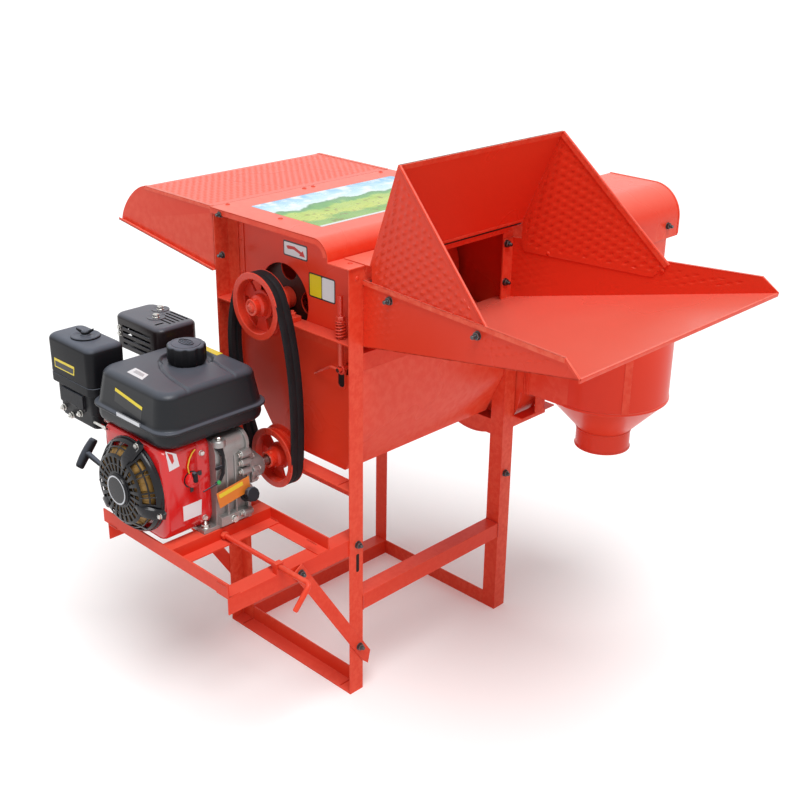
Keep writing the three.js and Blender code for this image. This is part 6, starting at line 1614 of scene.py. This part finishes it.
# Labels without words, and the loose bolts of the stand
def make_labels():
    label = Form()
    label.prism(rounded((192, 1001), (270, 1035), 4, 5), "y", PANEL - 0.25, PANEL, 1)
    label.prism(rounded((195, 1004), (267, 1032), 3, 5), "y", PANEL - 0.35, PANEL - 0.2, 0)
    arrow = [(202, 1023), (207, 1017), (226, 1019), (246, 1013), (244, 1009), (262, 1009), (255, 1022),
             (251, 1018), (228, 1026), (208, 1025)]
    label.prism(arrow, "y", PANEL - 0.45, PANEL - 0.3, 2)
    piece("panel_arrow_label", label, [vinyl_white, vinyl_black, vinyl_red], slot="sheet_red")
    notice = Form()
    notice.prism(rounded((273, 927), (356, 981), 5, 5), "y", PANEL - 0.25, PANEL, 1)
    notice.prism(rounded((276, 930), (313, 978), 3, 5), "y", PANEL - 0.35, PANEL - 0.2, 2)
    notice.prism(rounded((315, 930), (353, 978), 3, 5), "y", PANEL - 0.35, PANEL - 0.2, 0)
    piece("panel_notice", notice, [vinyl_white, vinyl_black, vinyl_yellow], slot="sheet_red")

    stickers = Form()

    def patch(form, quad, surface, paint):
        """A thin label over four corners, laid on a surface."""
        (ax, ay), (bx, by), (cx, cy), (dx, dy) = quad

        def place(s, t, face):
            x = lerp(lerp(ax, bx, s), lerp(dx, cx, s), t)
            y = lerp(lerp(ay, by, s), lerp(dy, cy, s), t)
            return surface(x, y, face)

        form.sheet(spread(0, 1, 12), spread(0, 1, 8), place, paint)

    def on_top(x, y, face):
        return Vector((x, y, TANK_SHOULDER + TANK_ROLL + tank_relief(x, y) + 0.3 - 1.0 * face))

    def on_front(x, z, face):
        return Vector((x, TANK_LOW.y + tank_side(z) - 0.3 + 1.0 * face, z))

    patch(stickers, [(64, -292), (58, -266), (110, -269), (123, -294)], on_top, 0)
    patch(stickers, [(74, -284), (70, -272), (104, -274), (110, -285)],
          lambda x, y, face: on_top(x, y, face) + Z * 0.15, 2)
    patch(stickers, [(36, -92), (38, -77), (116, -78), (118, -96)], on_top, 1)
    patch(stickers, [(-8, -106), (-9, -77), (12, -77), (10, -94)], on_top, 1)
    piece("tank_top_stickers", stickers, [vinyl_white, vinyl_yellow, silver_foil], slot="black_paint")
    sides = Form()
    patch(sides, [(62, 726), (162, 713), (162, 742), (62, 755)], on_front, 3)
    patch(sides, [(62, 748), (162, 735), (162, 742), (62, 755)],
          lambda x, z, face: on_front(x, z, face) - Y * 0.2, 1)
    sides.prism(rectangle(84, 711, 168, 702.6), "y", TANK_LOW.y - 0.3, TANK_LOW.y + 3, 2)
    cleaner_low = cad("air_cleaner")[0]
    sides.prism([(-185, 753), (-102, 753), (-106, 731), (-185, 731)], "y", cleaner_low.y - 0.1,
                cleaner_low.y + 2, 1)
    sides.prism([(-182, 747), (-106, 747), (-109, 734), (-182, 734)], "y", cleaner_low.y - 0.3,
                cleaner_low.y + 2, 3)
    shroud = cad("fan_shroud")[1].x
    sides.prism([(-288, 523), (-239, 523), (-242, 488), (-288, 488)], "x", shroud - 1, shroud + 0.3, 0)
    sides.prism([(-322, 664), (-296, 650), (-290, 620), (-316, 616)], "x", shroud - 1, shroud + 0.3, 0)
    sides.prism([(-319, 660), (-306, 652), (-303, 636), (-308, 630), (-314, 646)], "x", shroud - 1,
                shroud + 0.5, 4)
    piece("engine_side_stickers", sides, [vinyl_white, vinyl_yellow, silver_foil, vinyl_black, vinyl_red],
          slot="black_paint")

    loose = Form()
    for z in (1066, 973):
        bolt(loose, (30, 0, z), -Y, 8.0, 7)
    for y in (24, STAND_WIDTH - 24):
        bolt(loose, (STAND_LENGTH, y, 392), X, 9.0, 5)
    for brace_x, way in ((cad("brace_a")[1].x, X), (cad("brace_d")[0].x, -X)):
        bolt(loose, (brace_x, 26, 124), way, 9.0, 6)
        bolt(loose, (brace_x, -146, 392), way, 9.0, 5)
    strip = Form().prism(rounded((42, 872), (58, 1052), 3, 4), "y", PANEL - 2.2, PANEL)
    for z in (892, 930, 1008, 1040):
        rivet(strip, (50, PANEL - 2.2, z), -Y, 4.5)
    rivet(strip, (STAND_LENGTH, 22, 1008), X, 5.5)
    # Painted shade: a dark plate on the leg where the key slot's shadowed opening shows
    key_slot_shade = Form().prism(rounded((19, 322), (28, 368), 4, 6), "x", STAND_LENGTH - 0.4,
                            STAND_LENGTH + 0.25)
    piece("leg_key_slot_shade", key_slot_shade, painted_shade, slot="frame_red")
    rim = Form()
    outer, inner = rounded((360, 742), (388, 797), 13, 6), rounded((364, 746), (384, 793), 10, 6)
    rim.loft([laid("y", outline, y) for outline, y in
              ((outer, PANEL), (outer, PANEL - 2.4), (inner, PANEL - 2.4), (inner, PANEL - 0.6))])
    red_sheet("rod_slot_rim", rim, bevel=0.8)
    shade = Form().prism(rounded((364.4, 746.4), (383.6, 792.6), 9.6, 6), "y", PANEL - 0.9, PANEL - 0.3)
    piece("rod_slot_shade", shade, painted_shade, slot="sheet_red")
    eye = middle_of("concave_rod")
    arm_z = cad("concave_rod")[0].z + 10
    bent = [(eye.x - 8, eye.y, arm_z), (eye.x - 26, eye.y - 4, arm_z + 2),
            (eye.x - 48, eye.y + 2, arm_z - 10), (eye.x - 76, eye.y + 12, arm_z - 26),
            (eye.x - 104, eye.y + 20, arm_z - 42)]
    red_sheet("panel_strip", strip, bevel=0.8)
    piece("rod_arm", Form().tube(bent, [3.2, 3.2, 3.2, 3.0, 2.4], 12), pulley_enamel, "concave_rod",
          slot="frame_red")
    hardware("stand_bolts", loose, dark_steel, 0.35)


# Stage, light and camera
WHITE, FLOOR_COLOUR = (1.0, 1.0, 1.0), (0.88, 0.88, 0.88)
FLOOR_REACH, FLOOR_LIFT, FLOOR_ROUGHNESS, WORLD_LIGHT = 60.0, 0.14, 0.9, 0.5
SUN_TOWARD, SUN_ENERGY, SUN_WIDTH = Vector((-0.32, 0.20, -0.93)), 2.4, 34
CAMERA_PLACE = Vector((1.78497, -1.82615, 1.75074))
CAMERA_HEADING, CAMERA_TILT, CAMERA_ROLL = 2.342409, -0.405106, 0.014118
CAMERA_LENS, CAMERA_SENSOR = 54.43, 36.0
CAMERA_SHIFT, CAMERA_RANGE = (0.0015, -0.0041), (0.05, 100.0)


def seen_rays(tree, *more):
    """One for camera and glossy rays, and for more kinds by name."""
    path = node(tree, "ShaderNodeLightPath")
    seen = path.outputs["Is Camera Ray"]
    for kind in ("Is Glossy Ray", *more):
        seen = maths(tree, "MAXIMUM", seen, path.outputs[kind])
    return seen


def make_stage():
    mesh = bpy.data.meshes.new("floor")
    corners = rectangle(-FLOOR_REACH, -FLOOR_REACH, FLOOR_REACH, FLOOR_REACH)
    mesh.from_pydata([(x, y, 0) for x, y in corners], [], [(0, 1, 2, 3)])
    floor = bpy.data.objects.new("floor", mesh)
    bpy.context.scene.collection.objects.link(floor)
    material = bpy.data.materials.new("floor_pale")
    material.use_nodes = True
    tree = material.node_tree
    shader = tree.nodes["Principled BSDF"]
    shader.inputs["Base Color"].default_value = rgba(FLOOR_COLOUR)
    shader.inputs["Roughness"].default_value = FLOOR_ROUGHNESS
    shader.inputs["Specular IOR Level"].default_value = 0.0
    lifted = maths(tree, "MULTIPLY", seen_rays(tree), FLOOR_LIFT)
    shader.inputs["Emission Color"].default_value = rgba(WHITE)
    tree.links.new(lifted, shader.inputs["Emission Strength"])
    mesh.materials.append(material)

    world = bpy.data.worlds.new("studio")
    bpy.context.scene.world = world
    world.use_nodes = True
    tree = world.node_tree
    tree.nodes.clear()
    seen = seen_rays(tree, "Is Transmission Ray")
    soft = node(tree, "ShaderNodeBackground", {"Color": rgba(WHITE), "Strength": WORLD_LIGHT})
    white = node(tree, "ShaderNodeBackground", {"Color": rgba(WHITE), "Strength": 1.0})
    both = node(tree, "ShaderNodeMixShader", {0: seen, 1: soft.outputs[0], 2: white.outputs[0]})
    node(tree, "ShaderNodeOutputWorld", {0: both.outputs[0]})

    lamp = bpy.data.lights.new("sun", "SUN")
    lamp.energy, lamp.angle = SUN_ENERGY, math.radians(SUN_WIDTH)
    obj = bpy.data.objects.new("sun", lamp)
    obj.rotation_euler = SUN_TOWARD.to_track_quat("-Z", "Y").to_euler()
    bpy.context.scene.collection.objects.link(obj)


def make_camera():
    heading, tilt, roll = CAMERA_HEADING, CAMERA_TILT, CAMERA_ROLL
    along = Vector((math.cos(tilt) * math.cos(heading), math.cos(tilt) * math.sin(heading), math.sin(tilt)))
    right = along.cross(Z).normalized()
    up = right.cross(along)
    turned_right = right * math.cos(roll) + up * math.sin(roll)
    turned_up = up * math.cos(roll) - right * math.sin(roll)
    rotation = Matrix((turned_right, turned_up, -along)).transposed().to_4x4()
    camera = bpy.data.cameras.new("camera")
    camera.lens, camera.sensor_width = CAMERA_LENS, CAMERA_SENSOR
    camera.shift_x, camera.shift_y = CAMERA_SHIFT
    camera.clip_start, camera.clip_end = CAMERA_RANGE
    obj = bpy.data.objects.new("camera", camera)
    obj.matrix_world = Matrix.Translation(CAMERA_PLACE) @ rotation
    bpy.context.scene.collection.objects.link(obj)
    bpy.context.scene.camera = obj


make_camera()
make_stage()
dress_stand()
make_cover()
make_discharge()
make_tray()
make_hood()
make_drive()
make_spring()
make_blower()
make_tank()
make_cleaner()
make_muffler()
make_shroud()
make_recoil()
make_handle()
make_block()
make_controls()
make_screw()
make_labels()
bpy.context.scene.view_settings.view_transform = "Standard"
